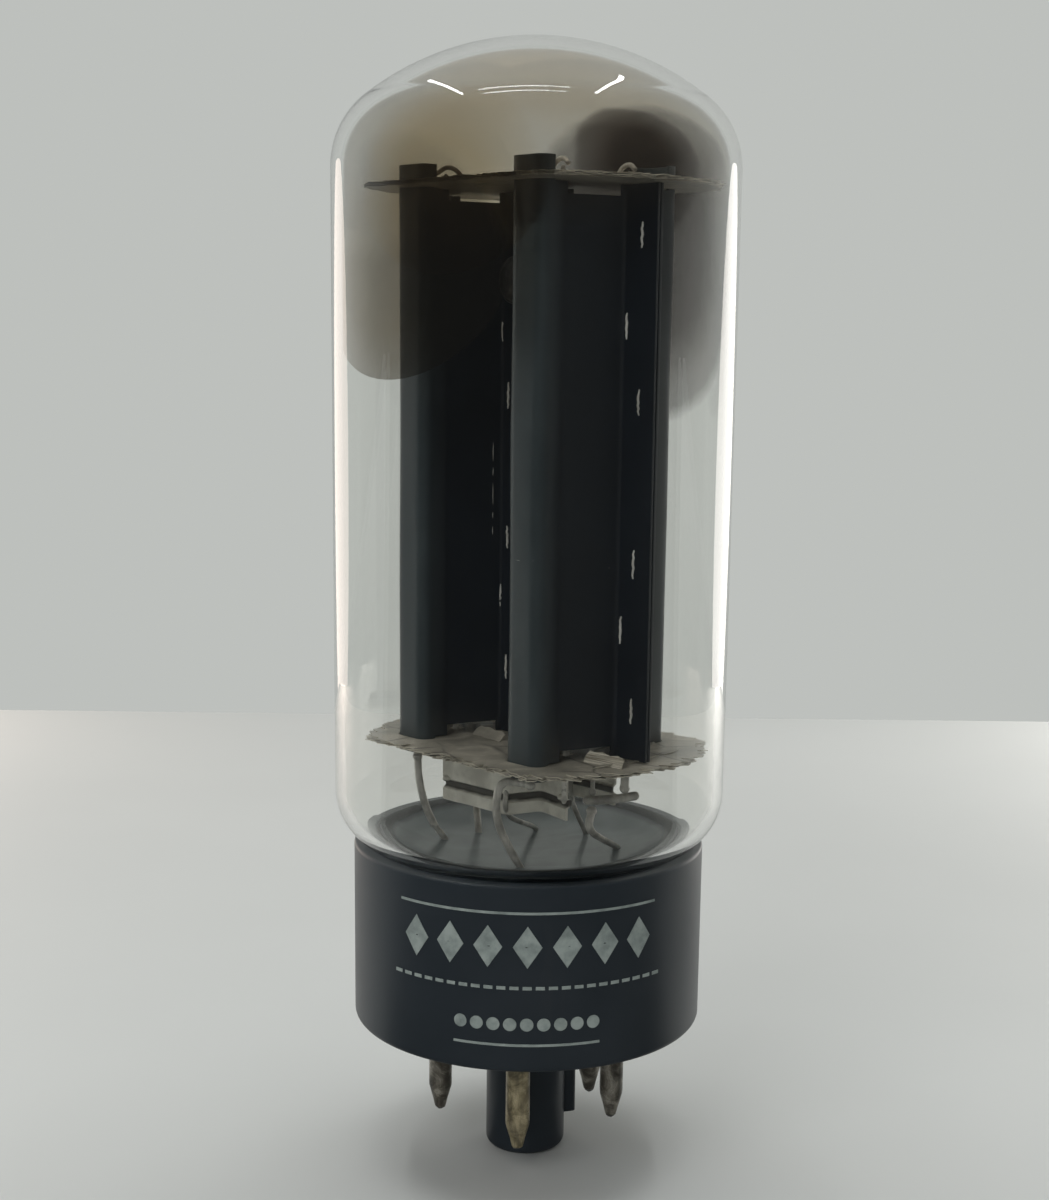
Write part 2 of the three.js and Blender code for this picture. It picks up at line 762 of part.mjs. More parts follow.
place(mount, "lower_mica", lowerMica(), mica);
place(mount, "upper_mica", upperMica(), mica);
for (const [letter, outward] of [["a", ANODE_A], ["b", ANODE_B]]) {
  for (const [sideName, side] of [["front", FRONT], ["rear", REAR]]) {
    const p = outward * ANODE_OFFSET;
    const q = side * HOOK_Q;
    const tag = `${letter}_${sideName}`;
    place(mount, `anode_${tag}`, anodeHalf(side, outward), carbonised);
    place(mount, `filament_${tag}`, filamentRibbon().translate(p, q, 0), oxide);
    place(mount, `filament_hook_${tag}`, topHook(p, q), nickel);
    place(mount, `tension_spring_${tag}`, tensionSpring(p, q, -outward), nickel);
  }
  place(mount, `filament_link_${letter}`, filamentLink(outward), nickel);
  place(mount, `support_rod_${letter}`, supportRod(outward), nickel);
  place(mount, `cross_rod_${letter}`, crossRod(outward), nickel);
}
place(mount, "filament_strap_1", filamentStrap(1), nickel);
place(mount, "filament_strap_2", filamentStrap(-1), nickel);
for (const [sideName, side] of [["front", FRONT], ["rear", REAR]]) {
  place(mount, `getter_pan_${sideName}`, getterPan(side), nickel);
  place(mount, `getter_wire_${sideName}`, getterWire(side), nickel);
}
for (const name of Object.keys(LEAD_ANGLES)) {
  place(tube, `${name}_lead`, wire(leadPath(name), leadRadius(name), 14), nickel);
}
for (const [number, leadName] of PIN_LEADS) {
  place(tube, `pin_wire_${number}`, pinWire(number, leadName), copper);
}

export default tube;
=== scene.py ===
"""Looks of a full-wave rectifier tube: a straight glass bulb on an octal base.

Lengths are in millimetres until a mesh is made, which scales them to metres. The electrode
mount has a frame of its own, p from anode a to anode b and q across, turned about Z in the
bulb. Angles are in degrees from the locating key, which points along +X.
"""

import math
import random

import bmesh
import bpy
from mathutils import Matrix, Vector, noise


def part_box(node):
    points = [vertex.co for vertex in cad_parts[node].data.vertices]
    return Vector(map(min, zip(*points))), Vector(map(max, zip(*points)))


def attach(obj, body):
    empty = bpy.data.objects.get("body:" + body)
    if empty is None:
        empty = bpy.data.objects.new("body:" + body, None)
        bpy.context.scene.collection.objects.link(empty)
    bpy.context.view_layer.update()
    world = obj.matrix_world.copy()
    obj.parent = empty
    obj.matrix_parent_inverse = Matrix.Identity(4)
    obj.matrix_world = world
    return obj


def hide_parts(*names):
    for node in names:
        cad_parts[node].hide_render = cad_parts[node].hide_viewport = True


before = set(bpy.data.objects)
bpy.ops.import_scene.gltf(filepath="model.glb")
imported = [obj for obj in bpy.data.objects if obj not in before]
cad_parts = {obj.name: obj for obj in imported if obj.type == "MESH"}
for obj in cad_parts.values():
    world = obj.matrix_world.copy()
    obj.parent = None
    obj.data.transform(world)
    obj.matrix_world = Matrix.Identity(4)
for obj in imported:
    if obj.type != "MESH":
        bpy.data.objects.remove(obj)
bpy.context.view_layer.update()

MM = 0.001
SEED = 11
PHOTO_AZIMUTH = -17.5
GLASS_IOR = 1.5


def bottom(node):
    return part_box(node)[0].z / MM


def top(node):
    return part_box(node)[1].z / MM


# ---- sizes, from the CAD nodes where they can be measured ----
BASE_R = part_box("base_shell")[1].x / MM
BASE_TOP = top("base_shell")
BASE_WALL = 1.6
BASE_FLOOR = 2.2
BASE_FOOT = 14.2
PLUG_R = 3.96
PLUG_WALL = 1.0
KEY_R = 5.1
KEY_WIDTH = 2.3
KEY_BOTTOM = 3.0
INK_LIFT = 0.05
PIN_R = 1.18
PIN_CIRCLE = 8.725
PIN_STEP = 45
PIN_NUMBERS = (1, 2, 4, 6, 8)
FRONT_PIN = 6
PIN_TOP = top("pin_1")
PIN_TIP = bottom("pin_1")

BULB_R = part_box("glass_bulb")[1].x / MM
BULB_TOP = top("glass_bulb")
BULB_WALL = 1.0
FILM_THICK = 0.04
CAP_R = 26
SHOULDER_R = 8
CORNER_R = 6
CORNER_Z = 37.4
CORNER_SWEEP = 66
NECK_R = 14.8
NECK_BOTTOM = 27
STEM_R = 13.7
STEM_TOP = top("button_stem")
STEM_THICK = 2.8
EXHAUST_R = 2.2
EXHAUST_TIP = bottom("exhaust_tip")
LEAD_CIRCLE = 8.9
LEAD_ANGLES = {
    "anode_a": 147,
    "anode_b": -112.5,
    "filament_1": 67.5,
    "filament_2": 30,
    "support_a": 108,
    "support_b": -22.5,
}

MOUNT_TURN = -63.5
LOWER_MICA = bottom("lower_mica")
UPPER_MICA = bottom("upper_mica")
MICA_THICK = 0.4
MICA_R = 17.0
MICA_SHIFT = 0.8
MICA_HALF_WIDTH = 12.4
SPLIT = 0.012

SHEET = 0.3
ANODE_P = 7.8
NOSE_Q = 8.8
NOSE_HALF_WIDTH = 1.95
NOSE_ROOT_Q = 5.9
WEB_ROOT_P = 3.7
OUTER_FLANGE_P = 7.6
INNER_FLANGE_P = 6.2
FLANGE_Q = 0.2
TAB_Q = 7.4
TAB_TOP = top("anode_a_front")
TAB_BOTTOM = bottom("anode_a_front")
HOOK_Q = 4.3
LEG_SPREAD = 1.55
RIBBON_TOP = 90.5
GETTER_Z = 86
GETTER_Q = 1.7
GETTER_R = 2.2
THICK_WIRE = 0.42
WIRE = 0.3
THIN_WIRE = 0.22
CROSS_ROD_Z = 38.6
CROSS_ROD_P = 11.4
CROSS_ROD_Q = 3.0
STRAP_HEIGHT = 5.0
STRAP_DROP = 0.9
STRAP_GROOVE = LOWER_MICA - 4.55
SIDES = {"front": -1, "rear": 1}
ANODES = {"a": -1, "b": 1}


# ---- shape helpers ----
def arc(x, y, r, start, stop, steps):
    """Points of a circular arc, both ends included."""
    turns = (math.radians(start + (stop - start) * i / steps) for i in range(steps + 1))
    return [(x + r * math.cos(t), y + r * math.sin(t)) for t in turns]


def polar(radius, degrees, z):
    angle = math.radians(degrees)
    return Vector((radius * math.cos(angle), radius * math.sin(angle), z))


def mount(p, q, z):
    """A place given in the electrode mount's frame, in the tube's frame."""
    angle = math.radians(MOUNT_TURN)
    across = (math.cos(angle) * p - math.sin(angle) * q, math.sin(angle) * p + math.cos(angle) * q)
    return Vector((*across, z))


def straight(x, y, z):
    """A place given in the tube's frame, as mount() is for the electrode mount's."""
    return Vector((x, y, z))


def rounded(corners, radii, steps=6):
    """An open path through corners, each turned into a curve that starts radius before it."""
    path = [Vector(corners[0])]
    for i in range(1, len(corners) - 1):
        here = Vector(corners[i])
        before = (Vector(corners[i - 1]) - here).normalized() * radii[i]
        after = (Vector(corners[i + 1]) - here).normalized() * radii[i]
        for k in range(steps + 1):
            t = k / steps
            path.append(here + before * (1 - t) ** 2 + after * t**2)
    path.append(Vector(corners[-1]))
    return path


def spaced(path, gap):
    """The same path with extra points, so that no stretch is longer than gap."""
    result = [Vector(path[0])]
    for a, b in zip(path, path[1:]):
        a, b = Vector(a), Vector(b)
        count = max(1, math.ceil((b - a).length / gap))
        result += [a.lerp(b, k / count) for k in range(1, count + 1)]
    return result


def smooth_path(points, steps=8):
    """A Catmull-Rom curve through points."""
    points = [Vector(p) for p in points]
    ends = [2 * points[0] - points[1], *points, 2 * points[-1] - points[-2]]
    path = []
    for a, b, c, d in zip(ends, ends[1:], ends[2:], ends[3:]):
        for k in range(steps):
            t = k / steps
            bend = (2 * a - 5 * b + 4 * c - d) * t**2 + (3 * b - a - 3 * c + d) * t**3
            path.append(b + ((c - a) * t + bend) / 2)
    path.append(points[-1])
    return path


class Skin:
    """Closed surfaces gathered into one piece, in millimetres."""

    def __init__(self):
        self.points = []
        self.faces = []

    def add(self, points, faces):
        start = len(self.points)
        self.points += [Vector(p) for p in points]
        self.faces += [[start + i for i in face] for face in faces]
        return self

    def lathe(self, profile, sides, at=(0, 0), closed=True):
        """Turns a profile of (radius, height) points about a vertical axis at a place."""
        points = []
        rings = []
        for r, z in profile:
            if r < 1e-6:
                rings.append([len(points)] * sides)
                points.append((at[0], at[1], z))
                continue
            rings.append([len(points) + i for i in range(sides)])
            for i in range(sides):
                spot = polar(r, 360 * i / sides, z)
                points.append((spot.x + at[0], spot.y + at[1], z))
        pairs = list(zip(rings, rings[1:]))
        if closed and profile[0][0] > 1e-6:
            pairs.append((rings[-1], rings[0]))
        faces = []
        for a, b in pairs:
            for i in range(sides):
                j = (i + 1) % sides
                face = list(dict.fromkeys((a[i], a[j], b[j], b[i])))
                if len(face) > 2:
                    faces.append(face)
        return self.add(points, faces)

    def sweep(self, path, radius, sides=14, flat=1.0, taper=0.0):
        """A round or flattened wire along a path, with rounded ends."""
        path = [Vector(p) for p in path]
        tangents = []
        for i in range(len(path)):
            ahead = path[min(i + 1, len(path) - 1)] - path[max(i - 1, 0)]
            tangents.append(ahead.normalized())
        normal = tangents[0].orthogonal().normalized()
        stations = []
        for i, (spot, tangent) in enumerate(zip(path, tangents)):
            normal = (normal - tangent * normal.dot(tangent)).normalized()
            share = i / (len(path) - 1)
            size = radius * (1 - taper * abs(2 * share - 1) ** 2)
            stations.append((spot, tangent, normal.copy(), size))
        rounds = []
        cap = (15, 45, 70)
        for angle in reversed(cap):
            spot, tangent, across, size = stations[0]
            lift = math.sin(math.radians(angle)) * size
            narrow = size * math.cos(math.radians(angle))
            rounds.append((spot - tangent * lift, tangent, across, narrow))
        rounds += stations
        for angle in cap:
            spot, tangent, across, size = stations[-1]
            lift = math.sin(math.radians(angle)) * size
            narrow = size * math.cos(math.radians(angle))
            rounds.append((spot + tangent * lift, tangent, across, narrow))
        points = []
        for spot, tangent, across, size in rounds:
            other = tangent.cross(across)
            for k in range(sides):
                a = 2 * math.pi * k / sides
                points.append(spot + across * math.cos(a) * size + other * math.sin(a) * size * flat)
        faces = []
        for ring in range(len(rounds) - 1):
            for k in range(sides):
                j = (k + 1) % sides
                first = ring * sides
                faces.append([first + k, first + j, first + sides + j, first + sides + k])
        last = (len(rounds) - 1) * sides
        faces.append(list(range(sides)))
        faces.append([last + k for k in range(sides)])
        return self.add(points, faces)

    def rail(self, path, section, place):
        """A section of (offset, height) points carried along a path in plan."""
        points = []
        for i, here in enumerate(path):
            ahead = path[min(i + 1, len(path) - 1)] - path[max(i - 1, 0)]
            across = Vector((-ahead.y, ahead.x)).normalized()
            for offset, z in section:
                spot = here + across * offset
                points.append(place(spot.x, spot.y, z))
        size = len(section)
        faces = []
        for ring in range(len(path) - 1):
            for k in range(size):
                j = (k + 1) % size
                first = ring * size
                faces.append([first + k, first + j, first + size + j, first + size + k])
        last = (len(path) - 1) * size
        faces.append(list(range(size)))
        faces.append([last + k for k in range(size)])
        return self.add(points, faces)

    def sheet(self, path, levels, thickness, keep, place, relief):
        """A bent sheet: path in plan, levels in height, and only the cells that keep allows."""
        normals = []
        for i in range(len(path)):
            ahead = path[min(i + 1, len(path) - 1)] - path[max(i - 1, 0)]
            normals.append(Vector((-ahead.y, ahead.x)).normalized())
        points = []
        for side in (-1, 1):
            for z in levels:
                for here, normal in zip(path, normals):
                    spot = here + normal * (side * thickness / 2 + relief(here, z))
                    points.append(place(spot.x, spot.y, z))
        columns = len(path)
        back = columns * len(levels)
        kept = {
            (i, j)
            for j in range(len(levels) - 1)
            for i in range(columns - 1)
            if keep((path[i] + path[i + 1]) / 2, (levels[j] + levels[j + 1]) / 2)
        }
        faces = []
        for i, j in sorted(kept):
            low = j * columns + i
            corners = [low, low + 1, low + columns + 1, low + columns]
            faces.append(corners)
            faces.append([back + c for c in reversed(corners)])
            edges = {
                (i, j - 1): (0, 1),
                (i + 1, j): (1, 2),
                (i, j + 1): (2, 3),
                (i - 1, j): (3, 0),
            }
            for neighbour, (a, b) in edges.items():
                if neighbour not in kept:
                    faces.append([corners[b], corners[a], back + corners[a], back + corners[b]])
        return self.add(points, faces)

    def plate(self, outlines, low, high, place, tilt=None):
        """A flat plate with holes: the first outline is its rim and the others are holes."""
        curve = bpy.data.curves.new("outline", "CURVE")
        curve.dimensions = "2D"
        curve.fill_mode = "BOTH"
        curve.extrude = (high - low) / 2
        for outline in outlines:
            spline = curve.splines.new("POLY")
            spline.points.add(len(outline) - 1)
            for point, spot in zip(spline.points, outline):
                point.co = (spot[0], spot[1], 0, 1)
            spline.use_cyclic_u = True
        holder = bpy.data.objects.new("outline", curve)
        mesh = bpy.data.meshes.new_from_object(holder)
        middle = (low + high) / 2
        points = [(v.co.x, v.co.y, v.co.z + middle) for v in mesh.vertices]
        if tilt:
            points = [tilt @ Vector(p) for p in points]
        faces = [list(f.vertices) for f in mesh.polygons]
        self.add([place(*p) for p in points], faces)
        bpy.data.objects.remove(holder)
        bpy.data.curves.remove(curve)
        bpy.data.meshes.remove(mesh)
        return self

    def bead(self, at, size, squash=1.0):
        """A small weld bead or drop."""
        rings = 6
        profile = [
            (size * math.sin(math.pi * k / rings), at[2] - size * squash * math.cos(math.pi * k / rings))
            for k in range(rings + 1)
        ]
        profile[0] = (0, profile[0][1])
        profile[-1] = (0, profile[-1][1])
        self.lathe(profile, 12, (at[0], at[1]), closed=False)

    def dent(self, amount, scale):
        """Moves every point a little, so that nothing is machine-perfect."""
        for point in self.points:
            point += noise.noise_vector(point * scale) * amount


def weld(mesh, sharp):
    """Joins doubled points, turns all faces outwards and marks the edges that stay sharp."""
    work = bmesh.new()
    work.from_mesh(mesh)
    bmesh.ops.remove_doubles(work, verts=work.verts, dist=1e-7)
    bmesh.ops.dissolve_degenerate(work, edges=work.edges, dist=1e-8)
    bmesh.ops.recalc_face_normals(work, faces=work.faces)
    for face in work.faces:
        face.smooth = True
    for edge in work.edges:
        if len(edge.link_faces) == 2 and edge.calc_face_angle(0) > math.radians(sharp):
            edge.smooth = False
    work.to_mesh(mesh)
    work.free()


def piece(name, skin, material, slot, *nodes, sharp=35, bevel=0.0):
    """Makes the object, which rides on the one body and stands for its CAD nodes."""
    mesh = bpy.data.meshes.new(name)
    mesh.from_pydata([p * MM for p in skin.points], [], skin.faces)
    weld(mesh, sharp)
    obj = bpy.data.objects.new(name, mesh)
    bpy.context.scene.collection.objects.link(obj)
    mesh.materials.append(material)
    if bevel:
        soften = obj.modifiers.new("soft_edges", "BEVEL")
        soften.width = bevel * MM
        soften.segments = 2
        soften.limit_method = "ANGLE"
        soften.angle_limit = math.radians(sharp)
        soften.harden_normals = False
    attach(obj, "root")
    if nodes:
        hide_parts(*nodes)


# ---- materials ----
class Surface:
    """A material whose shader is fed by procedural textures in the object's coordinates."""

    def __init__(self, name, **sockets):
        self.material = bpy.data.materials.new(name)
        self.material.use_nodes = True
        self.tree = self.material.node_tree
        self.tree.nodes.clear()
        self.output = self.add("OutputMaterial")
        self.shader = self.add("BsdfPrincipled")
        self.link(self.shader.outputs[0], self.output.inputs["Surface"])
        self.where = self.add("TexCoord").outputs["Object"]
        for socket, value in sockets.items():
            self.shader.inputs[socket.replace("_", " ")].default_value = value

    def add(self, kind, **settings):
        node = self.tree.nodes.new("ShaderNode" + kind)
        for setting, value in settings.items():
            setattr(node, setting, value)
        return node

    def link(self, source, target):
        self.tree.links.new(source, target)

    def stretched(self, scale):
        """Coordinates scaled by axis, for grain that runs one way."""
        mapping = self.add("Mapping")
        mapping.inputs["Scale"].default_value = scale
        self.link(self.where, mapping.inputs["Vector"])
        return mapping.outputs["Vector"]

    def noise(self, scale, detail=4.0, roughness=0.55, distortion=0.0, where=None):
        texture = self.add("TexNoise")
        texture.inputs["Scale"].default_value = scale
        texture.inputs["Detail"].default_value = detail
        texture.inputs["Roughness"].default_value = roughness
        texture.inputs["Distortion"].default_value = distortion
        self.link(where or self.where, texture.inputs["Vector"])
        return texture.outputs["Fac"]

    def cells(self, scale, feature="F1"):
        texture = self.add("TexVoronoi", feature=feature)
        texture.inputs["Scale"].default_value = scale
        self.link(self.where, texture.inputs["Vector"])
        return texture.outputs["Distance"]

    def ramp(self, value, stops):
        """Colours by value, from (place, colour) stops; a single number is a grey."""
        node = self.add("ValToRGB")
        elements = node.color_ramp.elements
        while len(elements) < len(stops):
            elements.new(0.5)
        for element, (place, colour) in zip(elements, stops):
            element.position = place
            shade = colour if isinstance(colour, tuple) else (colour, colour, colour)
            element.color = (*shade, 1)
        self.link(value, node.inputs["Fac"])
        return node.outputs["Color"]

    def maths(self, operation, a, b):
        node = self.add("Math", operation=operation)
        for socket, value in zip(node.inputs, (a, b)):
            if isinstance(value, (int, float)):
                socket.default_value = value
            else:
                self.link(value, socket)
        return node.outputs[0]

    def mix(self, factor, a, b, blend="MIX"):
        node = self.add("Mix", data_type="RGBA", blend_type=blend)
        sockets = (node.inputs[0], node.inputs[6], node.inputs[7])
        for socket, value in zip(sockets, (factor, a, b)):
            if isinstance(value, tuple):
                socket.default_value = (*value, 1)
            elif isinstance(value, (int, float)):
                socket.default_value = value
            else:
                self.link(value, socket)
        return node.outputs[2]

    def bump(self, height, strength, distance):
        node = self.add("Bump")
        node.inputs["Strength"].default_value = strength
        node.inputs["Distance"].default_value = distance * MM
        self.link(height, node.inputs["Height"])
        self.link(node.outputs["Normal"], self.shader.inputs["Normal"])

    def height(self, of=None):
        """The Z part of a vector, or of the place that is shaded."""
        parts = self.add("SeparateXYZ")
        self.link(of or self.where, parts.inputs[0])
        return parts.outputs["Z"]

    def upright(self):
        """How far a face points up or down, from 0 on a wall to 1 on a level face."""
        normal = self.add("NewGeometry").outputs["True Normal"]
        return self.maths("ABSOLUTE", self.height(normal), 0)

    def vector(self, operation, first, second=None):
        """A vector operation; the first value is a socket and the second a fixed vector."""
        node = self.add("VectorMath", operation=operation)
        self.link(first, node.inputs[0])
        if second is not None:
            node.inputs[1].default_value = second
        many = operation in ("MULTIPLY", "ADD")
        return node.outputs["Vector" if many else "Value"]

    def blended(self, factor, first, second):
        """Sends a mix of two shaders to the surface."""
        blend = self.add("MixShader")
        for socket, source in zip(blend.inputs, (factor, first, second)):
            self.link(source, socket)
        self.link(blend.outputs[0], self.output.inputs["Surface"])

    def unlit(self, kind, colour):
        """A transparent or glowing shader of one colour."""
        node = self.add(kind)
        node.inputs["Color"].default_value = (*colour, 1)
        return node

    def paint(self, **sockets):
        for socket, value in sockets.items():
            self.link(value, self.shader.inputs[socket.replace("_", " ")])


def glass_material(name, tint):
    """Clear glass that lets light through to what stands inside it."""
    surface = Surface(name, IOR=GLASS_IOR, Roughness=0.0)
    surface.shader.inputs["Transmission Weight"].default_value = 1.0
    surface.shader.inputs["Base Color"].default_value = (*tint, 1)
    waves = surface.noise(45, 1, where=surface.stretched((1, 1, 0.3)))
    surface.bump(waves, 0.06, 0.5)
    clear = surface.unlit("BsdfTransparent", tint)
    shadow = surface.add("LightPath").outputs["Is Shadow Ray"]
    surface.blended(shadow, surface.shader.outputs[0], clear.outputs[0])
    return surface.material


def stem_material():
    """Thick pressed glass over a dark base: smoky grey-blue and streaked, with painted shade darkening its
    rim.
    """
    surface = Surface("stem_glass", IOR=GLASS_IOR, Roughness=0.22)
    surface.shader.inputs["Transmission Weight"].default_value = 0.15
    flow = surface.noise(160, 3, 0.5, 1.5)
    colour = surface.ramp(flow, [(0.3, (0.215, 0.245, 0.255)), (0.7, (0.280, 0.315, 0.325))])
    across = surface.vector("LENGTH", surface.vector("MULTIPLY", surface.where, (1, 1, 0)))
    # Painted shade: the colour goes nearly black towards the rim, where shade falls round the stem's edge.
    rim = surface.ramp(surface.maths("MULTIPLY", across, 50), [(0.665, 0.0), (0.70, 1.0)])
    surface.paint(Base_Color=surface.mix(rim, colour, (0.022, 0.024, 0.025)))
    surface.bump(flow, 0.05, 0.1)
    return surface.material


def film_material(name, centre, radius, stops, colour, dark_tint, fade=(150, 160)):
    """A metal film on glass: it fades past its radius and between the heights in fade."""
    surface = Surface(name, Metallic=0.55, Roughness=0.32)
    away = surface.vector("DISTANCE", surface.where, centre * MM)
    wander = surface.maths("MULTIPLY", surface.noise(110, 2), 0.18)
    share = surface.maths("DIVIDE", away, radius * MM)
    share = surface.maths("ADD", surface.maths("ADD", share, wander), -0.09)
    height = surface.maths("SUBTRACT", surface.height(), fade[0] * MM)
    height = surface.maths("DIVIDE", height, (fade[1] - fade[0]) * MM)
    height = surface.maths("ADD", height, surface.maths("MULTIPLY", wander, 0.6))
    kept = surface.ramp(height, [(0.0, 1.0), (1.0, 0.0)])
    cover = surface.maths("MULTIPLY", surface.ramp(share, stops), kept)
    cloud = surface.noise(260, 4)
    tone = surface.mix(cloud, tuple(c * 0.75 for c in colour), tuple(c * 1.25 for c in colour))
    surface.paint(Base_Color=tone)
    clear = surface.add("BsdfTransparent")
    stained = surface.ramp(share, [(0.0, dark_tint), (0.45, dark_tint), (0.98, (1.0, 1.0, 1.0))])
    surface.link(surface.mix(kept, (1.0, 1.0, 1.0), stained), clear.inputs["Color"])
    surface.blended(cover, clear.outputs[0], surface.shader.outputs[0])
    return surface.material


def phenolic_material():
    """Moulded phenolic: near black with a fine grain, dust and light scuffs."""
    surface = Surface("phenolic", IOR=1.52)
    grain = surface.noise(2600, 3)
    cloud = surface.noise(90, 4)
    colour = surface.ramp(cloud, [(0.35, (0.0210, 0.0285, 0.0365)), (0.7, (0.0290, 0.0375, 0.0470))])
    specks = surface.ramp(surface.cells(1300), [(0.0, 1.0), (0.06, 0.0)])
    dusty = surface.ramp(surface.noise(150, 5), [(0.58, 0.0), (0.72, 1.0)])
    dust = surface.maths("MULTIPLY", specks, dusty)
    streaks = surface.noise(500, 4, where=surface.stretched((1, 1, 0.12)))
    scuff = surface.ramp(streaks, [(0.66, 0.0), (0.74, 1.0)])
    worn = surface.mix(surface.maths("MULTIPLY", scuff, 0.10), colour, (0.05, 0.054, 0.056))
    surface.paint(
        Base_Color=surface.mix(surface.maths("MULTIPLY", dust, 0.25), worn, (0.16, 0.16, 0.15)),
        Roughness=surface.ramp(cloud, [(0.3, 0.36), (0.75, 0.46)]),
    )
    surface.bump(grain, 0.12, 0.03)
    return surface.material


def ink_material():
    """Pale printed ink, thin and a little broken."""
    surface = Surface("print_ink")
    patches = surface.noise(900, 5)
    colour = surface.ramp(patches, [(0.3, (0.21, 0.25, 0.24)), (0.65, (0.36, 0.41, 0.39))])
    surface.paint(Base_Color=colour, Roughness=surface.ramp(patches, [(0.3, 0.45), (0.7, 0.65)]))
    surface.bump(patches, 0.3, 0.03)
    return surface.material


def cement_material():
    surface = Surface("base_cement")
    lumps = surface.noise(700, 6)
    colour = surface.ramp(lumps, [(0.38, (0.020, 0.011, 0.007)), (0.66, (0.20, 0.12, 0.07))])
    surface.paint(Base_Color=colour, Roughness=surface.ramp(lumps, [(0.3, 0.35), (0.7, 0.8)]))
    surface.bump(lumps, 0.6, 0.12)
    return surface.material


def pin_material(name, middle, light):
    """Plated brass gone dull, with dark stains and bright rubbed patches."""
    surface = Surface(name, Metallic=0.3)
    stains = surface.noise(480, 6, 0.65, 0.6)
    streaks = surface.noise(1500, 4, where=surface.stretched((1, 1, 0.18)))
    base = surface.ramp(
        stains,
        [(0.34, (0.060, 0.053, 0.042)), (0.46, middle), (0.62, light)],
    )
    colour = surface.mix(surface.ramp(streaks, [(0.35, 0.6), (0.6, 0.0)]), base, (0.06, 0.055, 0.048))
    surface.paint(Base_Color=colour, Roughness=surface.ramp(stains, [(0.3, 0.45), (0.7, 0.22)]))
    surface.bump(stains, 0.25, 0.05)
    return surface.material


def solder_material():
    surface = Surface("tip_solder", Metallic=0.6)
    frost = surface.noise(1400, 5)
    colour = surface.ramp(frost, [(0.3, (0.09, 0.09, 0.088)), (0.7, (0.32, 0.32, 0.31))])
    surface.paint(Base_Color=colour, Roughness=surface.ramp(frost, [(0.3, 0.5), (0.7, 0.28)]))
    surface.bump(frost, 0.4, 0.05)
    return surface.material


def mica_material():
    """Split mica: mottled brown-grey faces and cream, layered edges."""
    surface = Surface("mica_sheet", IOR=1.58)
    surface.shader.inputs["Transmission Weight"].default_value = 0.12
    mottle = surface.noise(230, 6, 0.6, 0.8)
    face = surface.ramp(
        mottle,
        [(0.28, (0.20, 0.185, 0.16)), (0.5, (0.44, 0.41, 0.35)), (0.72, (0.74, 0.69, 0.60))],
    )
    cracks = surface.ramp(surface.cells(170, "DISTANCE_TO_EDGE"), [(0.0, 1.0), (0.035, 0.0)])
    some = surface.ramp(surface.noise(80, 2), [(0.5, 0.0), (0.6, 0.75)])
    face = surface.mix(surface.maths("MULTIPLY", cracks, some), face, (0.030, 0.026, 0.022))
    layers = surface.noise(900, 4, where=surface.stretched((0.25, 0.25, 12)))
    edge = surface.ramp(layers, [(0.35, (0.30, 0.26, 0.20)), (0.58, (0.90, 0.85, 0.74))])
    level = surface.ramp(surface.upright(), [(0.55, 0.0), (0.75, 1.0)])
    surface.paint(
        Base_Color=surface.mix(level, edge, face),
        Roughness=surface.ramp(mottle, [(0.3, 0.28), (0.7, 0.5)]),
    )
    surface.bump(mottle, 0.35, 0.08)
    return surface.material


def carbonised_material():
    """Carbon-blackened nickel: blue-black and satin, with a painted sheen that makes it paler where it bends
    round a nose.
    """
    surface = Surface("carbonised_sheet", IOR=1.85)
    cloud = surface.noise(120, 4)
    fine = surface.noise(2200, 4)
    colour = surface.ramp(cloud, [(0.3, (0.0026, 0.0056, 0.0115)), (0.7, (0.0050, 0.0096, 0.0175))])
    speck = surface.ramp(surface.cells(520), [(0.0, 1.0), (0.045, 0.0)])
    rare = surface.ramp(surface.noise(330, 2), [(0.60, 0.0), (0.63, 1.0)])
    bright = surface.maths("MULTIPLY", speck, rare)
    # Painted sheen: the noses get a paler colour that stands in for the light they reflect.
    depth = surface.maths("ABSOLUTE", surface.vector("DOT_PRODUCT", surface.where, mount(0, 1, 0)), 0)
    nose = surface.ramp(surface.maths("MULTIPLY", depth, 100), [(0.60, 0.0), (0.86, 1.0)])
    nose_painted_sheen = surface.ramp(cloud, [(0.3, (0.024, 0.035, 0.043)), (0.7, (0.042, 0.057, 0.066))])
    colour = surface.mix(nose, colour, nose_painted_sheen)
    surface.paint(
        Base_Color=surface.mix(bright, colour, (0.30, 0.29, 0.27)),
        Roughness=surface.ramp(cloud, [(0.3, 0.30), (0.7, 0.42)]),
    )
    surface.bump(fine, 0.05, 0.02)
    return surface.material


def bare_metal(name, dark, light, rough=(0.42, 0.26), metallic=0.6):
    """Bare wire or strip: drawn grain along Z with darker oxide patches."""
    surface = Surface(name, Metallic=metallic)
    patches = surface.noise(360, 5)
    grain = surface.noise(2700, 3, where=surface.stretched((1, 1, 0.15)))
    colour = surface.ramp(patches, [(0.32, dark), (0.62, light)])
    surface.paint(
        Base_Color=surface.mix(surface.ramp(grain, [(0.35, 0.35), (0.6, 0.0)]), colour, dark),
        Roughness=surface.ramp(patches, [(0.3, rough[0]), (0.7, rough[1])]),
    )
    surface.bump(grain, 0.2, 0.03)
    return surface.material


